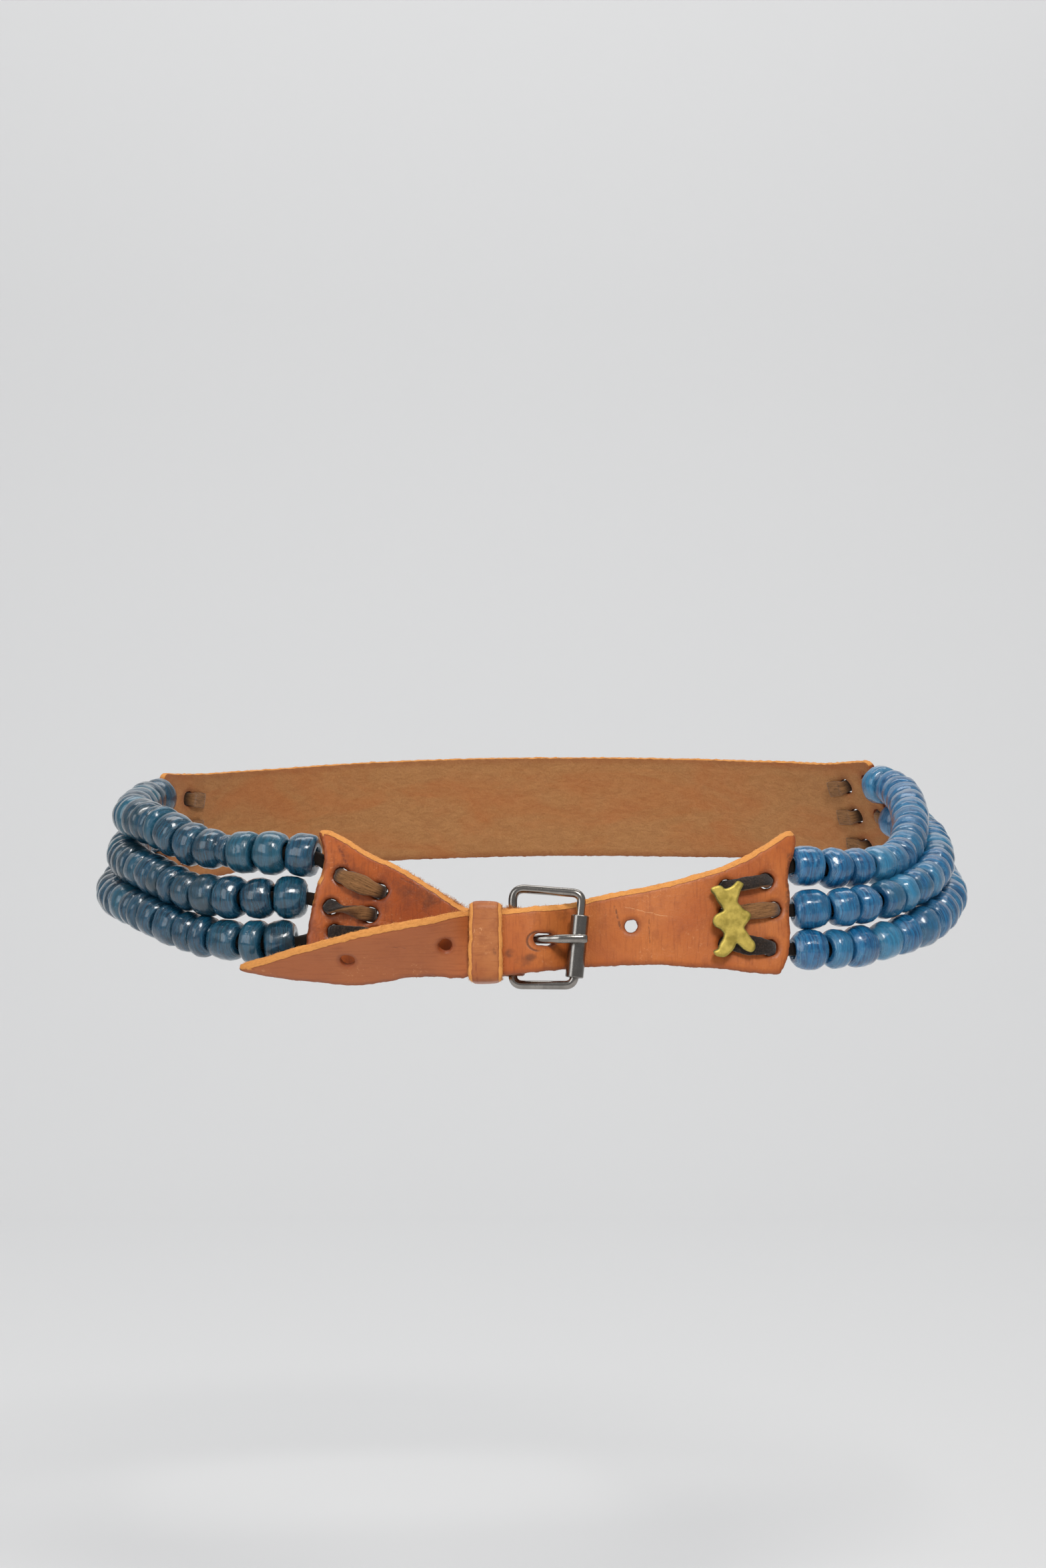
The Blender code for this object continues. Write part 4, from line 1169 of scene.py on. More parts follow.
beads = {
    "bore": 0.36,
    "lip": 0.50,
    "sides": 52,
    "profile": 44,
    "squareness": 2.7,
    "lump": 0.6,
    "ridge": 0.06,
    "tilt": 6.0,
    # how much of its radius a bead loses towards both ends, and towards one end
    "rounding": (-0.03, 0.13),
    "taper": (-0.05, 0.05),
    "settlesIn": 16.0,
    "start": {("right", "top"): 91.0, ("right", "middle"): 91.2, ("right", "bottom"): 91.0,
              ("left", "top"): -73.8, ("left", "middle"): -77.6, ("left", "bottom"): -81.6},
    "end": {"right": 255.6, "left": -243.6},
    "radius": {"right": (6.6, 7.3), "left": (6.8, 7.9)},
    "crowd": 0.35,
    "lengths": {"right": (7.5, 12.0), "left": (6.5, 12.5)},
    # lengths of the beads that show in front, from the tab round; a negative one is bare thong
    "shown": {
        ("right", "top"): (11.2, 10.8, 10.2, -1.2, 11.0, 10.8, 8.6, 9.6, 7.6, 8.4),
        ("right", "middle"): (12.8, 9.4, 9.8, -1.6, 10.2, 8.2, 9.6, 9.8, 8.6),
        ("right", "bottom"): (12.0, 8.8, 11.0, 11.2, 9.6, 11.2, 9.4, 8.8),
        ("left", "top"): (10.4, 11.4, 9.6, 4.4, 10.2, 10.0, 10.8, 5.6, 5.2, 6.8),
        ("left", "middle"): (11.4, 11.2, 9.6, 10.4, 9.0, 7.0, 6.0, 9.0),
        ("left", "bottom"): (10.8, 7.6, -1.0, 12.4, 6.6, 8.6, 9.6, 9.4, 7.0),
    },
    "seed": {"right": 11, "left": 41},
}


def stringRoute(side, row, count=161):
    # down the middle of one string, from the tab to the panel
    start, stop = beads["start"][side, row], beads["end"][side]
    behind = cut["thickness"] / 2 + thong["gap"] + thong["thickness"] / 2
    along = np.linspace(start, stop, count)
    settled = np.clip(np.minimum(abs(along - start), abs(stop - along)) / beads["settlesIn"], 0, 1)
    settled = settled * settled * (3 - 2 * settled)
    points = place(along, rowHeight[row](along), settled * rowOut[row](along) - behind * (1 - settled))
    return points, lengthsAlong(points)


def along3(points, lengths, distance):
    return np.stack([np.interp(distance, lengths, points[:, i]) for i in range(3)], -1)


def beadPlaces(side, row):
    # one line for each bead: its middle, axis, length, radius and a random shade
    points, lengths = stringRoute(side, row)
    source = random.Random(beads["seed"][side] + rowNames.index(row))
    total, at, spans = lengths[-1] / mm, 0.0, []
    for length in beads["shown"][side, row]:
        if length > 0:
            spans.append([at, length])
        at += abs(length)
    rest = []
    while sum(rest) < total - at:
        rest.append(source.uniform(*beads["lengths"][side]))
    fit = (total - at) / sum(rest)
    for length in rest:
        spans.append([at, length * fit])
        at += length * fit
    rows = rowNames.index(row)
    others = [stringRoute(side, name)[0] for i, name in enumerate(rowNames) if abs(i - rows) == 1]
    found = []
    for begin, length in spans:
        middle = along3(points, lengths, (begin + length / 2) * mm)
        ends = along3(points, lengths, np.array([begin, begin + length]) * mm)
        room = min(np.linalg.norm(other - middle, axis=1).min() for other in others) / mm
        radius = min(source.uniform(*beads["radius"][side]), room / 2 + beads["crowd"])
        if length < 5:
            radius *= 0.8
        found.append((middle, ends[1] - ends[0], length, radius, source.random()))
    return found


def beadFinish(name, deep, body, bright, rim, grey):
    f = Finish(name)
    spot = f.attribute("bead", "Vector")
    shade = f.attribute("shade")
    x, y, z = f.separate(spot)
    shift = shade * 37
    swirl = f.noise(f.combine(x * 1.3 + shift, y * 1.3, z * 2 + shift), 1.0, 2) - 0.5
    ring = z + swirl * 0.16
    wide = f.noise(f.combine(x * 0.55 + shift, y * 0.55 + shift, ring * 13 + shift), 1.0, 4, 0.65, 0.3)
    fine = f.noise(f.combine(x * 0.9 + shift, y * 0.9, ring * 60), 1.0, 3, 0.7, 0.2)
    hair = f.noise(f.combine(x * 1.2, y * 1.2 + shift, ring * 170), 1.0, 2, 0.6)
    patch = f.noise(f.combine(x * 1.1 + shift, y * 1.1, z * 1.4 + shift), 1.4, 3, 0.55)
    worn = f.noise(f.combine(x * 2 + shift, y * 2 + shift, z * 3), 2.2, 4, 0.65)
    colour = f.mix(wide.between(0.4, 0.6), deep, body)
    colour = f.mix(fine.between(0.5, 0.7) * 0.6, colour, bright)
    colour = f.mix(hair.between(0.55, 0.75) * 0.5, colour, bright)
    colour = f.mix((1 - fine.between(0.3, 0.45)) * 0.5, colour, deep)
    colour = f.mix(patch.between(0.5, 0.75) * 0.6, colour, deep)
    # pale rims on the shoulders are painted glow of reflected and shining-through light; the cloudy part is
    # real frosted wear
    shoulder = abs(z).between(0.26, 0.44)
    frostAndGlow = worn.between(0.5, 0.72) * 0.35 + shoulder * 0.45 * fine.between(0.3, 0.7)
    colour = f.mix(frostAndGlow.math("MINIMUM", 0.7), colour, rim)
    tinted = (shade * 7.3).math("FRACT")
    colour = f.mix(tinted.between(0.72, 0.98) * 0.7 * patch.between(0.3, 0.6), colour, grey)
    colour = f.mix((1 - tinted.between(0.0, 0.3)) * 0.35, colour, bright)
    # painted shade on the end faces, where the beads butt against each other
    end = abs(z).between(0.455, 0.49)
    colour = f.mix(end * 0.6, colour, deep)
    rough = 0.13 + frostAndGlow * 0.4 + wide.between(0.55, 0.75) * 0.12
    grooves = wide * 0.7 + fine * 0.4 + hair * 0.15 + worn * 0.6
    normal = f.bump(grooves, 0.26, strength=0.65)
    return f.set(colour=colour, roughness=rough, normal=normal, specular=0.55, coat=0.75, coatRoughness=0.05)


def beadGroup(inputs):
    # a section of the bead's wall swept round its hole, set on each place and roughened
    group, tree, read = newGroup("woundBeads", inputs)

    def named(name, kind="FLOAT"):
        return tree.add("GeometryNodeInputNamedAttribute", {"data_type": kind}, [name])

    section = tree.add("GeometryNodeCurvePrimitiveCircle", None, {
        "Resolution": read.other("Profile"), "Radius": 1.0})
    turn = tree.add("GeometryNodeInputIndex") / read.other("Profile") * math.tau

    def rounded(value):
        # a superellipse's side: flat in the middle, round at the corner
        return value.math("SIGN") * abs(value) ** (2.0 / read.other("Squareness"))

    down, across = rounded(turn.math("COSINE")) * 0.5, rounded(turn.math("SINE"))
    # a tall round shoulder outside the lip, and a short one inside it
    outer = across.math("MAXIMUM", 0.0) * (1 - read.other("Lip"))
    inner = across.math("MINIMUM", 0.0) * (read.other("Lip") - read.other("Bore"))
    section = tree.add("GeometryNodeSetPosition", None, {
        "Geometry": section, "Position": tree.combine(read.other("Lip") + outer + inner - 1.0, down, 0.0)})
    path = tree.add("GeometryNodeCurvePrimitiveCircle", None, {
        "Resolution": read.other("Sides"), "Radius": 1.0})
    bead = tree.add("GeometryNodeCurveToMesh", None, {"Curve": path, "Profile Curve": section})
    bead = tree.add("GeometryNodeFlipFaces", None, {"Mesh": bead})
    bead = tree.add("GeometryNodeStoreNamedAttribute", {"data_type": "FLOAT_VECTOR", "domain": "POINT"}, {
        "Geometry": bead, "Name": "bead", "Value": tree.add("GeometryNodeInputPosition")})
    placed = tree.add("GeometryNodeInstanceOnPoints", None, {
        "Points": read, "Instance": bead,
        "Rotation": tree.add("FunctionNodeEulerToRotation", None, [named("turn", "FLOAT_VECTOR")]),
        "Scale": named("size", "FLOAT_VECTOR")})
    real = tree.add("GeometryNodeRealizeInstances", None, {"Geometry": placed})
    x, y, z = tree.separate(named("bead", "FLOAT_VECTOR"))
    shift = named("shade") * 50
    lump = tree.add("ShaderNodeTexNoise", None, {
        "Vector": tree.combine(x + shift, y + shift, z * 1.6), "Scale": 1.1, "Detail": 2.0})
    winding = (z * 40 + y.math("ARCTAN2", x) + lump * 6 + shift).math("SINE")
    radius = tree.vector("LENGTH", tree.combine(x, y, 0.0), output="Value")
    outside = radius.between(0.55, 0.8)
    push = ((lump - 0.5) * read.other("Lump") * 2 + winding * read.other("Ridge")) * outside
    # each bead is rounder or squarer and tapers its own way, measured across its own axis
    rounding, taper, size = tree.separate(named("shape", "FLOAT_VECTOR"))
    loss = (rounding * z * z * 4 + taper * z * 2) * outside * size
    away = tree.add("FunctionNodeRotateVector", None, [
        tree.vector("NORMALIZE", tree.combine(x, y, 0.0)),
        tree.add("FunctionNodeEulerToRotation", None, [named("turn", "FLOAT_VECTOR")])])
    move = tree.vector("ADD", tree.scaled(tree.add("GeometryNodeInputNormal"), push),
                       tree.scaled(away, -loss))
    shaped = tree.add("GeometryNodeSetPosition", None, {"Geometry": real, "Offset": move})
    smooth = tree.add("GeometryNodeSetShadeSmooth", None, {"Geometry": shaped})
    done = tree.add("GeometryNodeSetMaterial", None, {"Geometry": smooth, "Material": read.other("Material")})
    tree.add("NodeGroupOutput", None, [done])
    return group


def makeBeads():
    # the fourth colour of each is the pale rim: real frosted wear and painted glow on the shoulders
    looks = {
        "left": beadFinish("leftGlass", srgb(2, 31, 50), srgb(6, 65, 94), srgb(40, 120, 142),
                           srgb(54, 98, 122), srgb(36, 58, 66)),
        "right": beadFinish("rightGlass", srgb(3, 64, 110), srgb(10, 104, 156), srgb(70, 156, 188),
                            srgb(86, 136, 168), srgb(36, 90, 116)),
    }
    inputs = {"Profile": beads["profile"], "Sides": beads["sides"], "Squareness": beads["squareness"],
              "Bore": beads["bore"], "Lip": beads["lip"], "Lump": beads["lump"] * mm,
              "Ridge": beads["ridge"] * mm, "Material": looks["right"]}
    group = beadGroup(inputs)
    made = []
    for side in ("right", "left"):
        for row in rowNames:
            places = beadPlaces(side, row)
            source = random.Random(beads["seed"][side] * 3 + rowNames.index(row))
            spots, turns, sizes, shapes, shades = [], [], [], [], []
            for middle, axis, length, radius, shade in places:
                tilt = [math.radians(source.uniform(-1, 1) * beads["tilt"]) for _ in range(2)]
                face = Vector(axis).to_track_quat("Z", "Y").to_matrix()
                lean = Vector((math.sin(tilt[0]), math.sin(tilt[1]), 1)).to_track_quat("Z", "Y").to_matrix()
                turned = face @ lean @ Matrix.Rotation(source.uniform(0, math.tau), 3, "Z")
                spots.append(middle)
                turns.append(tuple(turned.to_euler()))
                sizes.append((radius * mm, radius * mm, length * mm * 0.99))
                shapes.append((source.uniform(*beads["rounding"]), source.uniform(*beads["taper"]),
                               radius * mm))
                shades.append(shade)
            guide = meshPiece("bead_places", spots, [], None, {
                "turn": turns, "size": sizes, "shape": shapes, "shade": shades})
            inputs["Material"] = looks[side]
            string = runGroup(guide, group, inputs, f"beads_{side}_{row}")
            bpy.data.objects.remove(guide)
            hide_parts(f"strand_{side}_{row}")
            made.append(string)
    return made


# suede thongs

laces = {
    # how the strip is turned at its inner and outer hole in front: 0 shows the dark side, 180 the flesh side
    "turns": {("right", "top"): (-32, -32), ("right", "middle"): (180, 180), ("right", "bottom"): (0, 0),
              ("left", "top"): (180, 180), ("left", "middle"): (180, 30), ("left", "bottom"): (0, 0)},
    # how wide the strip is in front: at its inner hole, halfway and at its outer hole
    "widths": {("right", "top"): (5.4, 5.2, 4.2), ("right", "middle"): (4.0, 5.6, 5.6),
               ("right", "bottom"): (6.8, 6.8, 4.9), ("left", "top"): (5.4, 6.8, 4.5),
               ("left", "middle"): (5.2, 5.2, 4.5), ("left", "bottom"): (5.4, 5.4, 4.7)},
    "dark": srgb(36, 30, 27),
    "darkLight": srgb(62, 52, 46),
    "flesh": srgb(152, 108, 68),
    "fleshDark": srgb(88, 58, 34),
    # the colour of the painted shade where the thong sinks into holes and beads
    "sunkShade": srgb(26, 18, 13),
    # where between its two holes the strip stands out
    "puffs": {"right": (0.45, 0.55, 0.65, 0.76), "left": (0.26, 0.4, 0.6, 0.74)},
    "sides": 22,
    "step": 0.7,
}


def laceFinish():
    f = Finish("suede")
    across = f.attribute("across", "Vector")
    face, edge, run = f.separate(across)
    spot = f.object()
    nap = f.noise(spot, 1500, 4, 0.7)
    hairs = f.noise(f.combine(face * 3 + edge * 9, edge * 9, run * 260), 1.0, 3, 0.7, 0.6)
    dark = f.mix(nap.between(0.4, 0.7), laces["dark"], laces["darkLight"])
    light = f.mix(hairs.between(0.35, 0.7), laces["flesh"], laces["fleshDark"])
    light = f.mix(nap.between(0.4, 0.7) * 0.5, light, laces["flesh"])
    flesh = 1 - face.between(-0.1, 0.35)
    colour = f.mix((flesh + (f.noise(spot, 500, 2) - 0.5) * 0.3).math("MINIMUM", 1.0), dark, light)
    # painted shade where it sinks into its holes and runs between the beads
    colour = f.mix(f.attribute("sunk") * (0.65 + nap * 0.5), colour, laces["sunkShade"])
    normal = f.bump(nap + hairs * 0.6, 0.3, strength=0.8)
    return f.set(colour=colour, roughness=0.92, normal=normal, specular=0.2, sheen=0.25, sheenRoughness=0.4)


def smoothThrough(values, steps):
    # each column eased through its rows, with a number of steps after each row
    values = np.asarray(values, float)
    out = []
    for i in range(len(values) - 1):
        before, after = values[max(i - 1, 0)], values[min(i + 2, len(values) - 1)]
        out += [softCurve(before, values[i], values[i + 1], after, t) for t in np.arange(steps[i]) / steps[i]]
    out.append(values[-1])
    return np.array(out)


def thongEnd(inner, outer, edge, turnInner, turnOuter, widths, puffs):
    # tail behind, out through one hole, along the face, in through the next, on towards the beads
    inner, outer, edge = (np.array(spot, float) for spot in (inner, outer, edge))
    outside = cut["thickness"] / 2 + thong["gap"] + thong["thickness"] / 2
    run = unit(inner - outer)
    onward = unit(edge - outer)
    rows = []

    def add(spot, out, width, thickness, turn):
        rows.append((*spot, out, width, thickness, turn))

    add(inner + run * thong["tail"], -outside, thong["width"], thong["thickness"], 0)
    add(inner + run * thong["tailBend"], -outside, thong["width"], thong["thickness"], 0)
    add(inner + run * thong["slant"], -outside, thong["widthInHole"], thong["inHole"], turnInner)
    add(inner, 0, thong["widthInHole"], thong["fillsHole"], turnInner)
    add(inner - run * thong["slant"], outside, thong["widthInHole"], thong["inHole"], turnInner)
    puffed = outside + (thong["puffed"] - thong["thickness"]) / 2
    for share in puffs:
        width = float(np.interp(share, (0, 0.5, 1), widths))
        turn = turnInner * (1 - share) + turnOuter * share
        add(inner + (outer - inner) * share, puffed, width, thong["puffed"], turn)
    add(outer + run * thong["slant"], outside, thong["widthInHole"], thong["inHole"], turnOuter)
    add(outer, 0, thong["widthInHole"], thong["fillsHole"], turnOuter)
    add(outer + onward * thong["slant"], -outside, thong["widthInHole"], thong["inHole"], 0)
    return rows


def makeLace(side, row, finish):
    start, stop = beads["start"][side, row], beads["end"][side]
    inner, outer = thongHoles[side, row]
    edge = (start, float(rowHeight[row](start)))
    front = thongEnd(inner, outer, edge, *laces["turns"][side, row], laces["widths"][side, row],
                     laces["puffs"][side])
    near, far = panelHoles(side, row)
    stopAt = panelAlong(stop) if side == "right" else stop + hips["roundMm"]
    back = thongEnd(far, near, (stopAt, float(rowHeight[row](stop))), 0, 0, (thong["width"],) * 3,
                    laces["puffs"]["left"])[::-1]
    spots, normals, rest = [], [], []

    def follow(rows):
        # each row's place, and how far it has sunk into the leather
        for along, height, out, width, thickness, turn in rows:
            spots.append(place(along, height, out))
            normals.append(outwardAt(along, height))
            sunk = (cut["thickness"] / 2 + 0.9 - abs(out)) / 0.7
            rest.append((width, thickness, turn, np.clip(sunk, 0, 1)))

    follow(front)
    points, lengths = stringRoute(side, row)
    for share in np.linspace(0, 1, 17):
        spots.append(along3(points, lengths, share * lengths[-1]))
        along = start + (stop - start) * share
        normals.append(outwardAt(along, float(rowHeight[row](along))))
        rest.append((thong["widthInBeads"], thong["inBeads"], 0, 1.0))
    follow(back)
    table = np.hstack([np.array(spots) / mm, np.array(normals), np.array(rest)])
    gaps = np.linalg.norm(np.diff(table[:, :3], axis=0), axis=1)
    table = smoothThrough(table, [max(2, int(g / laces["step"])) for g in gaps])
    path, normal = table[:, :3] * mm, unit(table[:, 3:6])
    width, thickness, turn = table[:, 6], table[:, 7], np.radians(table[:, 8])
    run = unit(np.gradient(path, axis=0))
    across = unit(np.cross(normal, run))
    through = unit(np.cross(run, across))
    wide = across * np.cos(turn)[:, None] + through * np.sin(turn)[:, None]
    deep = through * np.cos(turn)[:, None] - across * np.sin(turn)[:, None]
    sides = laces["sides"]
    around = np.linspace(0, math.tau, sides, endpoint=False)
    sideWays, depthWays = squared(np.cos(around), 0.55), squared(np.sin(around), 0.8)
    length = lengthsAlong(path)
    fray = 1 + 0.05 * ripple(length[:, None] / mm, around[None, :] * 3, 3.0, rowNames.index(row) + len(side))
    rings = (path[:, None] + wide[:, None] * (width[:, None] / 2 * sideWays * fray)[..., None] * mm
             + deep[:, None] * (thickness[:, None] / 2 * depthWays)[..., None] * mm)
    count = len(path)
    facing = np.broadcast_to(np.sin(around), (count, sides))
    sideOf = np.broadcast_to(np.cos(around), (count, sides))
    down = np.broadcast_to(length[:, None], (count, sides))
    attribute = np.stack([facing, sideOf, down], -1).reshape(-1, 3)
    sunk = np.broadcast_to(np.clip(table[:, 9:10], 0, 1), (count, sides)).ravel()
    marks = {"across": attribute, "sunk": sunk}
    faces = sweptFaces(count, sides)
    piece = meshPiece(f"thong_{side}_{row}", rings.reshape(-1, 3), faces, finish, marks)
    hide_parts(f"lace_{side}_{row}")
    return piece


# metal: the buckle and the cast ornament

buckle = {
    "wire": 1.5,
    "corners": (
        # along, height, out, corner radius
        (-6.4, -37.7, 0.9, 3.4),
        (-6.4, -5.2, 0.9, 4.6),
        (16.8, -7.4, 4.7, 3.4),
        (14.0, -38.0, 4.3, 3.0),
    ),
    "roller": {"outer": 3.05, "inner": 2.2, "length": 21.0, "height": -24.6, "seam": 14.0},
    "prong": {"radius": 1.45, "height": -22.8, "ring": 3.3, "tip": 18.4},
    "steel": srgb(156, 151, 145),
    "dark": srgb(96, 92, 88),
}


def steelFinish(name, tone, rough):
    f = Finish(name)
    spot = f.object()
    cloud = f.noise(spot, 220, 3)
    fine = f.noise(f.stretch(spot, 1.0, 1.0, 0.12), 5200, 2)
    pits = f.noise(spot, 2600, 2)
    colour = f.mix(cloud.between(0.4, 0.75) * 0.45, tone, buckle["dark"])
    colour = f.mix(pits.between(0.66, 0.76) * 0.6, colour, srgb(60, 50, 42))
    roughness = rough + (cloud - 0.5) * 0.14 + fine * 0.08 + pits.between(0.64, 0.76) * 0.3
    normal = f.bump(fine * 0.5 + pits * 0.3, 0.05, strength=0.25)
    return f.set(colour=colour, roughness=roughness, metallic=1.0, normal=normal)


def tube(name, path, halfWide, halfDeep, up, finish, closed=False, sides=20, square=2.0):
    # a wire swept along a path; its two half sizes may change on the way
    path = np.asarray(path, float)
    run = np.roll(path, -1, 0) - np.roll(path, 1, 0) if closed else np.gradient(path, axis=0)
    run = unit(run)
    wide = unit(np.cross(run, up))
    deep = unit(np.cross(wide, run))
    around = np.linspace(0, math.tau, sides, endpoint=False)
    c, s = squared(np.cos(around), 2.0 / square), squared(np.sin(around), 2.0 / square)
    halfWide = np.broadcast_to(halfWide, (len(path),))[:, None] * mm
    halfDeep = np.broadcast_to(halfDeep, (len(path),))[:, None] * mm
    rings = (path[:, None] + wide[:, None] * (halfWide * c)[..., None]
             + deep[:, None] * (halfDeep * s)[..., None])
    faces = sweptFaces(len(path), sides, closed=closed, turned=True)
    return meshPiece(name, rings.reshape(-1, 3), faces, finish)


def makeBuckle():
    wireFinish = steelFinish("buckleSteel", buckle["steel"], 0.17)
    corners = [place(*corner[:3]) for corner in buckle["corners"]]
    path = []
    for i, corner in enumerate(corners):
        radius = buckle["corners"][i][3] * mm
        towards = unit(corners[i - 1] - corner) * radius
        away = unit(corners[(i + 1) % 4] - corner) * radius
        for t in np.linspace(0, 1, 12):
            path.append(corner + towards * (1 - t) ** 2 + away * t ** 2)
        following = (i + 1) % 4
        ahead = unit(corner - corners[following]) * buckle["corners"][following][3] * mm
        ahead = corners[following] + ahead
        for t in np.linspace(0, 1, 8)[1:-1]:
            path.append((corner + away) * (1 - t) + ahead * t)
    front = outwardAt(5.0, -22.0)
    wire = tube("buckle_wire", path, buckle["wire"], buckle["wire"], front, wireFinish, closed=True, sides=24)
    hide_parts("buckle_frame")

    prong = buckle["prong"]
    barAlong, barOut = buckleTab["bar"]
    ring = []
    for turn in np.radians(-25 - 245 * np.arange(15) / 14):
        ring.append((barAlong + prong["ring"] * math.cos(turn), barOut + prong["ring"] * math.sin(turn)))
    rollerAlong = (buckle["corners"][2][0] + buckle["corners"][3][0]) / 2
    rollerOut = (buckle["corners"][2][2] + buckle["corners"][3][2]) / 2
    rest = rollerOut + buckle["roller"]["outer"] + 0.3 + prong["radius"]
    tongue = [(-1.0, 4.6), (4.6, 6.3), (9.5, rest - 0.5), (rollerAlong, rest), (prong["tip"], rest - 0.5)]
    flat = smoothThrough(ring + tongue, [2] * (len(ring) - 1) + [8] * len(tongue))
    path = place(flat[:, 0], prong["height"], flat[:, 1])
    share = np.linspace(0, 1, len(path))
    ease = np.clip((share - 0.93) / 0.07, 0, 1)
    wide = prong["radius"] * (1.04 - 0.25 * ease ** 2)
    deep = prong["radius"] * (0.98 - 0.5 * ease ** 1.5)
    up = np.array([0.0, 0.0, 1.0])
    tongueMade = tube("buckle_prong", path, deep, wide, up, wireFinish, sides=24, square=2.5)
    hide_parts("prong")

    roller = buckle["roller"]
    top, bottom = corners[2], corners[3]
    axis = unit(top - bottom)
    share = (roller["height"] * mm - bottom[2]) / (top[2] - bottom[2])
    centre = bottom + (top - bottom) * share
    side = unit(np.cross(axis, front))
    out = unit(np.cross(side, axis))
    # the rolled sheet's section runs round its outer face and back along its inner one
    seam = math.radians(roller["seam"])
    turns = np.linspace(seam / 2, math.tau - seam / 2, 60) + math.pi * 1.5
    outer, inner = roller["outer"], roller["inner"]
    half = roller["length"] / 2
    soft = 0.28
    profile = ((inner, -half + soft), (inner + soft * 0.4, -half), (outer - soft, -half),
               (outer, -half + soft), (outer, 0.0), (outer, half - soft), (outer - soft, half),
               (inner + soft * 0.4, half), (inner, half - soft), (inner, 0.0))
    points = []
    for turn in turns:
        ray = side * math.cos(turn) + out * math.sin(turn)
        points += [centre + (ray * radius + axis * down) * mm for radius, down in profile]
    faces = sweptFaces(len(turns), len(profile))
    rolled = meshPiece("buckle_roller", points, faces, steelFinish("rollerSteel", srgb(136, 132, 127), 0.2))
    rolled.data.set_sharp_from_angle(angle=math.radians(40))
    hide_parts("roller")
    return [wire, tongueMade, rolled]


ornament = {
    "along": 67.5,
    "height": -17.2,
    "thickness": 2.2,
    "outline": (
        # from its middle, clockwise from the upper left arm
        (-7.9, 11.1), (-7.2, 11.7), (-5.2, 12.2), (-4.1, 11.9), (-3.2, 11.1), (-1.8, 11.4), (-0.6, 12.1),
        (0.8, 13.5), (1.6, 13.6), (2.6, 13.1), (3.2, 12.5), (2.9, 11.6), (2.2, 10.3), (1.6, 8.5),
        (1.2, 6.7), (1.9, 5.6), (3.4, 4.1), (4.9, 3.3), (5.8, 2.2), (5.6, 1.0), (4.7, -0.3),
        (3.8, -1.5), (3.6, -2.2), (4.6, -3.6), (5.9, -5.5), (7.1, -6.9), (7.5, -8.2), (7.3, -9.5),
        (6.3, -10.3), (5.1, -10.1), (3.6, -9.3), (2.6, -8.4), (1.5, -7.5), (0.9, -7.4), (0.5, -8.4),
        (-0.2, -9.5), (-1.6, -10.9), (-3.1, -11.8), (-4.8, -11.7), (-6.1, -11.2), (-6.8, -10.2), (-6.4, -9.6),
        (-5.3, -9.1), (-4.5, -7.3), (-3.6, -5.8), (-3.2, -4.2), (-3.5, -3.5), (-4.5, -2.4), (-6.2, -1.5),
        (-7.1, -0.1), (-7.0, 1.3), (-6.3, 2.3), (-4.9, 3.1), (-3.6, 3.7), (-3.8, 4.7), (-4.4, 5.8),
        (-5.7, 7.6), (-6.6, 9.4), (-7.5, 10.4),
    ),
    "rivet": (69.6, -19.3, 1.3, 2.2, 1.1),
    "brass": srgb(202, 180, 94),
    "brassDark": srgb(160, 142, 68),
    "green": srgb(50, 86, 58),
    "grid": 0.42,
    "bevel": 0.45,
}


def brassFinish():
    f = Finish("castBrass")
    spot = f.object()
    low = f.attribute("low")
    cloud = f.noise(spot, 300, 4)
    fine = f.noise(spot, 1500, 3)
    colour = f.mix(cloud.between(0.35, 0.7), ornament["brass"], ornament["brassDark"])
    tarnish = (low.between(0.25, 0.9) * (0.35 + cloud) + fine.between(0.6, 0.8) * 0.25).math("MINIMUM", 0.95)
    colour = f.mix(tarnish * 0.75, colour, ornament["green"])
    roughness = 0.56 + tarnish * 0.25 + (fine - 0.5) * 0.2
    normal = f.bump(cloud * 1.2 + fine * 0.4, 0.07, strength=0.5)
    return f.set(colour=colour, roughness=roughness, metallic=1.0 - tarnish * 0.5, normal=normal)


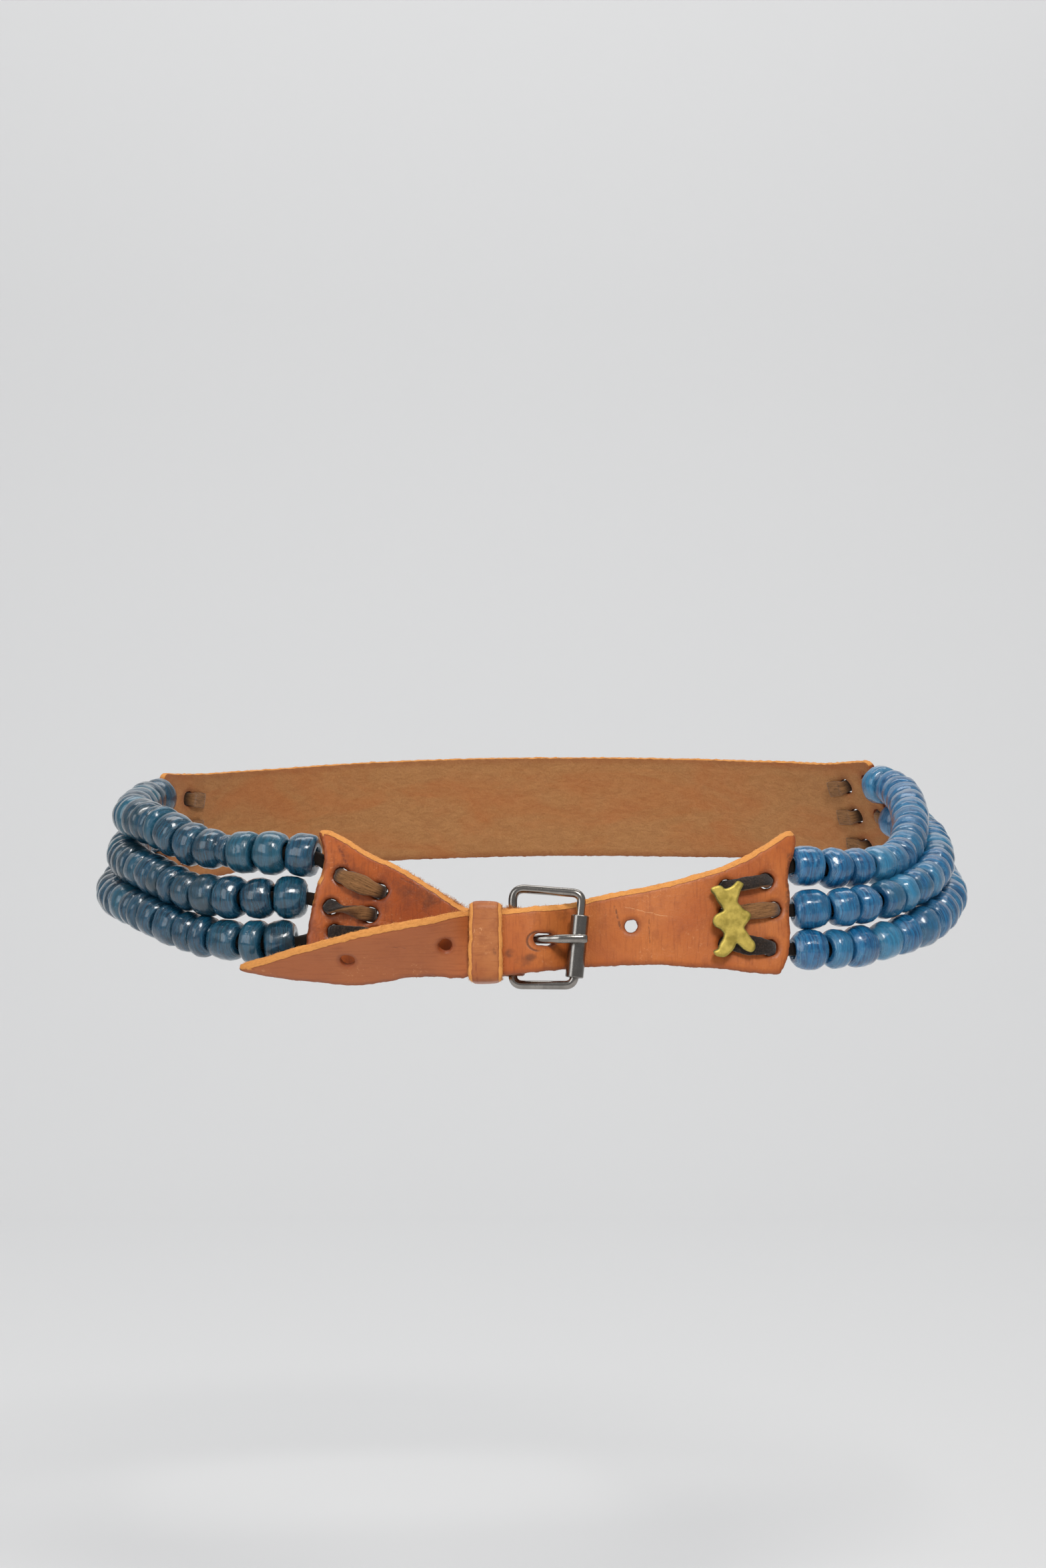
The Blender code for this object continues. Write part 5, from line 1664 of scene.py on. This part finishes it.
def makeOrnament():
    ring = np.array(ornament["outline"], float)
    closed = np.vstack([ring[-1:], ring, ring[:2]])
    fine = smoothThrough(closed, [4] * (len(closed) - 1))[4:-4 - 1]
    ring = evenRing(fine, 0.4)
    if ringArea(ring) < 0:
        ring = ring[::-1]
    inside = evenSpots(ring, ornament["grid"])
    inside = inside[insideRing(inside, ring)]
    gap = np.sqrt(((inside[:, None] - ring[None]) ** 2).sum(-1)).min(1)
    spots = np.vstack([ring, inside[gap > ornament["grid"] * 0.5]])
    size = len(ring)
    flat, faces, order = triangles(spots, [(i, (i + 1) % size) for i in range(size)], [ring])
    gap = np.sqrt(((flat[:, None] - ring[None]) ** 2).sum(-1)).min(1)
    # flat on top with a narrow worn bevel, and faintly uneven as it was cast
    dome = np.clip(gap / ornament["bevel"], 0, 1) ** 0.7
    hammered = ripple(*flat.T, 5.0, 21) * 0.04 + ripple(*flat.T, 1.9, 22) * 0.012
    rise = ornament["thickness"] * (0.82 + 0.18 * dome) + hammered * dome
    count = len(flat)
    under = cut["thickness"] / 2 + thong["gap"] + thong["thickness"] + 0.3
    out = np.concatenate([under + rise, np.full(count, under)])
    both = np.vstack([flat, flat * 0.96])
    low = np.clip(1 - gap / ornament["bevel"], 0, 1) * 0.75 - hammered * 1.6
    low = np.concatenate([low, np.full(count, 1.1)])
    allFaces = [tuple(f) for f in faces] + [tuple(f[::-1] + count) for f in faces]
    for i in range(size):
        j = (i + 1) % size
        allFaces.append((int(order[i]), int(order[i] + count), int(order[j] + count), int(order[j])))
    points = place(ornament["along"] + both[:, 0], ornament["height"] + both[:, 1], out)
    # the rivet that holds it, and the rivet's head behind the leather
    along, height, shank, head, headThick = ornament["rivet"]
    headOut = -cut["thickness"] / 2 - 0.3
    sides = 24
    turns = np.linspace(0, math.tau, sides, endpoint=False)
    rows = ((0.01, headOut - headThick), (head * 0.8, headOut - headThick), (head, headOut - headThick * 0.6),
            (head, headOut - 0.1), (head * 0.9, headOut), (shank, headOut), (shank, under + 0.3))
    first = len(points)
    ringPoints = [place(along + r * np.cos(turns), height + r * np.sin(turns), o) for r, o in rows]
    points = np.vstack([points, *ringPoints])
    low = np.concatenate([low, np.full(len(rows) * sides, 0.5)])
    allFaces += sweptFaces(len(rows), sides, first)
    piece = meshPiece("cast_ornament", points, allFaces, brassFinish(), {"low": low})
    piece.data.set_sharp_from_angle(angle=math.radians(42))
    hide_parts("ornament")
    return piece


# making

leatherPieces = [makeBillet(), makeBuckleTab(), makeKeeper(), makePanel()]
print("leather cut and bent")
fibrePieces = makeFuzz(leatherPieces)
print("edge fibres set")
beadPieces = makeBeads()
print("beads strung:", len(beadPieces), "strings")
suede = laceFinish()
lacePieces = [makeLace(side, row, suede) for side in ("right", "left") for row in rowNames]
print("thongs laced")
metalPieces = makeBuckle()
ornamentPiece = makeOrnament()
print("metal made")

for piece in leatherPieces + fibrePieces:
    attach(piece, "root")
for piece in beadPieces:
    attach(piece, "root")
for piece in lacePieces:
    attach(piece, "root")
for piece in metalPieces:
    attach(piece, "root")
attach(ornamentPiece, "root")


# studio

studio = {
    "floorDrop": 0.30,
    "floorBack": 2.2,
    "floorFront": 2.2,
    "wallHigh": 3.0,
    "bend": 0.8,
    "halfWide": 4.0,
    "shade": (0.80, 0.80, 0.80, 1.0),
    "world": (0.95, 0.97, 1.0),
    "worldStrength": 0.30,
}


def makeFloor():
    # a sweep of pale paper: flat below, bent up behind
    rows = [(-studio["floorFront"], -studio["floorDrop"]),
            (studio["floorBack"] - studio["bend"], -studio["floorDrop"])]
    for turn in np.radians(np.linspace(0, 90, 16)):
        rows.append((studio["floorBack"] - studio["bend"] + studio["bend"] * math.sin(turn),
                     studio["bend"] - studio["floorDrop"] - studio["bend"] * math.cos(turn)))
    rows.append((studio["floorBack"], studio["wallHigh"]))
    points = [(x, y, z) for y, z in rows for x in (-studio["halfWide"], studio["halfWide"])]
    faces = [(2 * i, 2 * i + 1, 2 * i + 3, 2 * i + 2) for i in range(len(rows) - 1)]
    f = Finish("palePaper")
    tone = f.noise(f.object(), 3.0, 3)
    f.set(colour=f.mix(tone * 0.2, studio["shade"], (0.76, 0.76, 0.77, 1.0)), roughness=0.85, specular=0.1)
    floor = meshPiece("floor", points, faces, f.material)
    return floor


def makeLight(name, place, target, size, power, colour=(1, 1, 1)):
    light = bpy.data.lights.new(name, "AREA")
    light.shape = "RECTANGLE"
    light.size, light.size_y = size
    light.energy = power
    light.color = colour
    lamp = bpy.data.objects.new(name, light)
    lamp.location = place
    lamp.rotation_euler = (Vector(target) - Vector(place)).to_track_quat("-Z", "Y").to_euler()
    bpy.context.scene.collection.objects.link(lamp)
    return lamp


view = {
    "place": (0.0, -1.300, 0.030),
    "focalPixels": 5289.0,
    "longSidePixels": 2351.0,
    "sensor": 36.0,
}


def makeCamera():
    camera = bpy.data.cameras.new("camera")
    camera.sensor_width = view["sensor"]
    camera.lens = view["focalPixels"] / view["longSidePixels"] * view["sensor"]
    camera.clip_start, camera.clip_end = 0.05, 50
    holder = bpy.data.objects.new("camera", camera)
    holder.location = view["place"]
    holder.rotation_euler = (math.radians(90), 0, 0)
    bpy.context.scene.collection.objects.link(holder)
    bpy.context.scene.camera = holder


makeFloor()
makeCamera()
makeLight("keyLight", (0.25, -1.25, 1.05), (0, -0.05, 0), (0.5, 0.4), 15, (1.0, 0.98, 0.95))
makeLight("fillLight", (-1.1, -1.0, 0.45), (0, 0, 0), (0.7, 0.9), 5, (0.95, 0.98, 1.0))
makeLight("wallLight", (0.0, 0.6, 2.2), (0, 2.0, 0.2), (2.5, 1.0), 30)

world = bpy.data.worlds.new("studioAir")
world.use_nodes = True
air = world.node_tree.nodes["Background"]
air.inputs["Color"].default_value = (*studio["world"], 1.0)
air.inputs["Strength"].default_value = studio["worldStrength"]
bpy.context.scene.world = world
bpy.context.scene.view_settings.view_transform = "Standard"
print("studio lit")
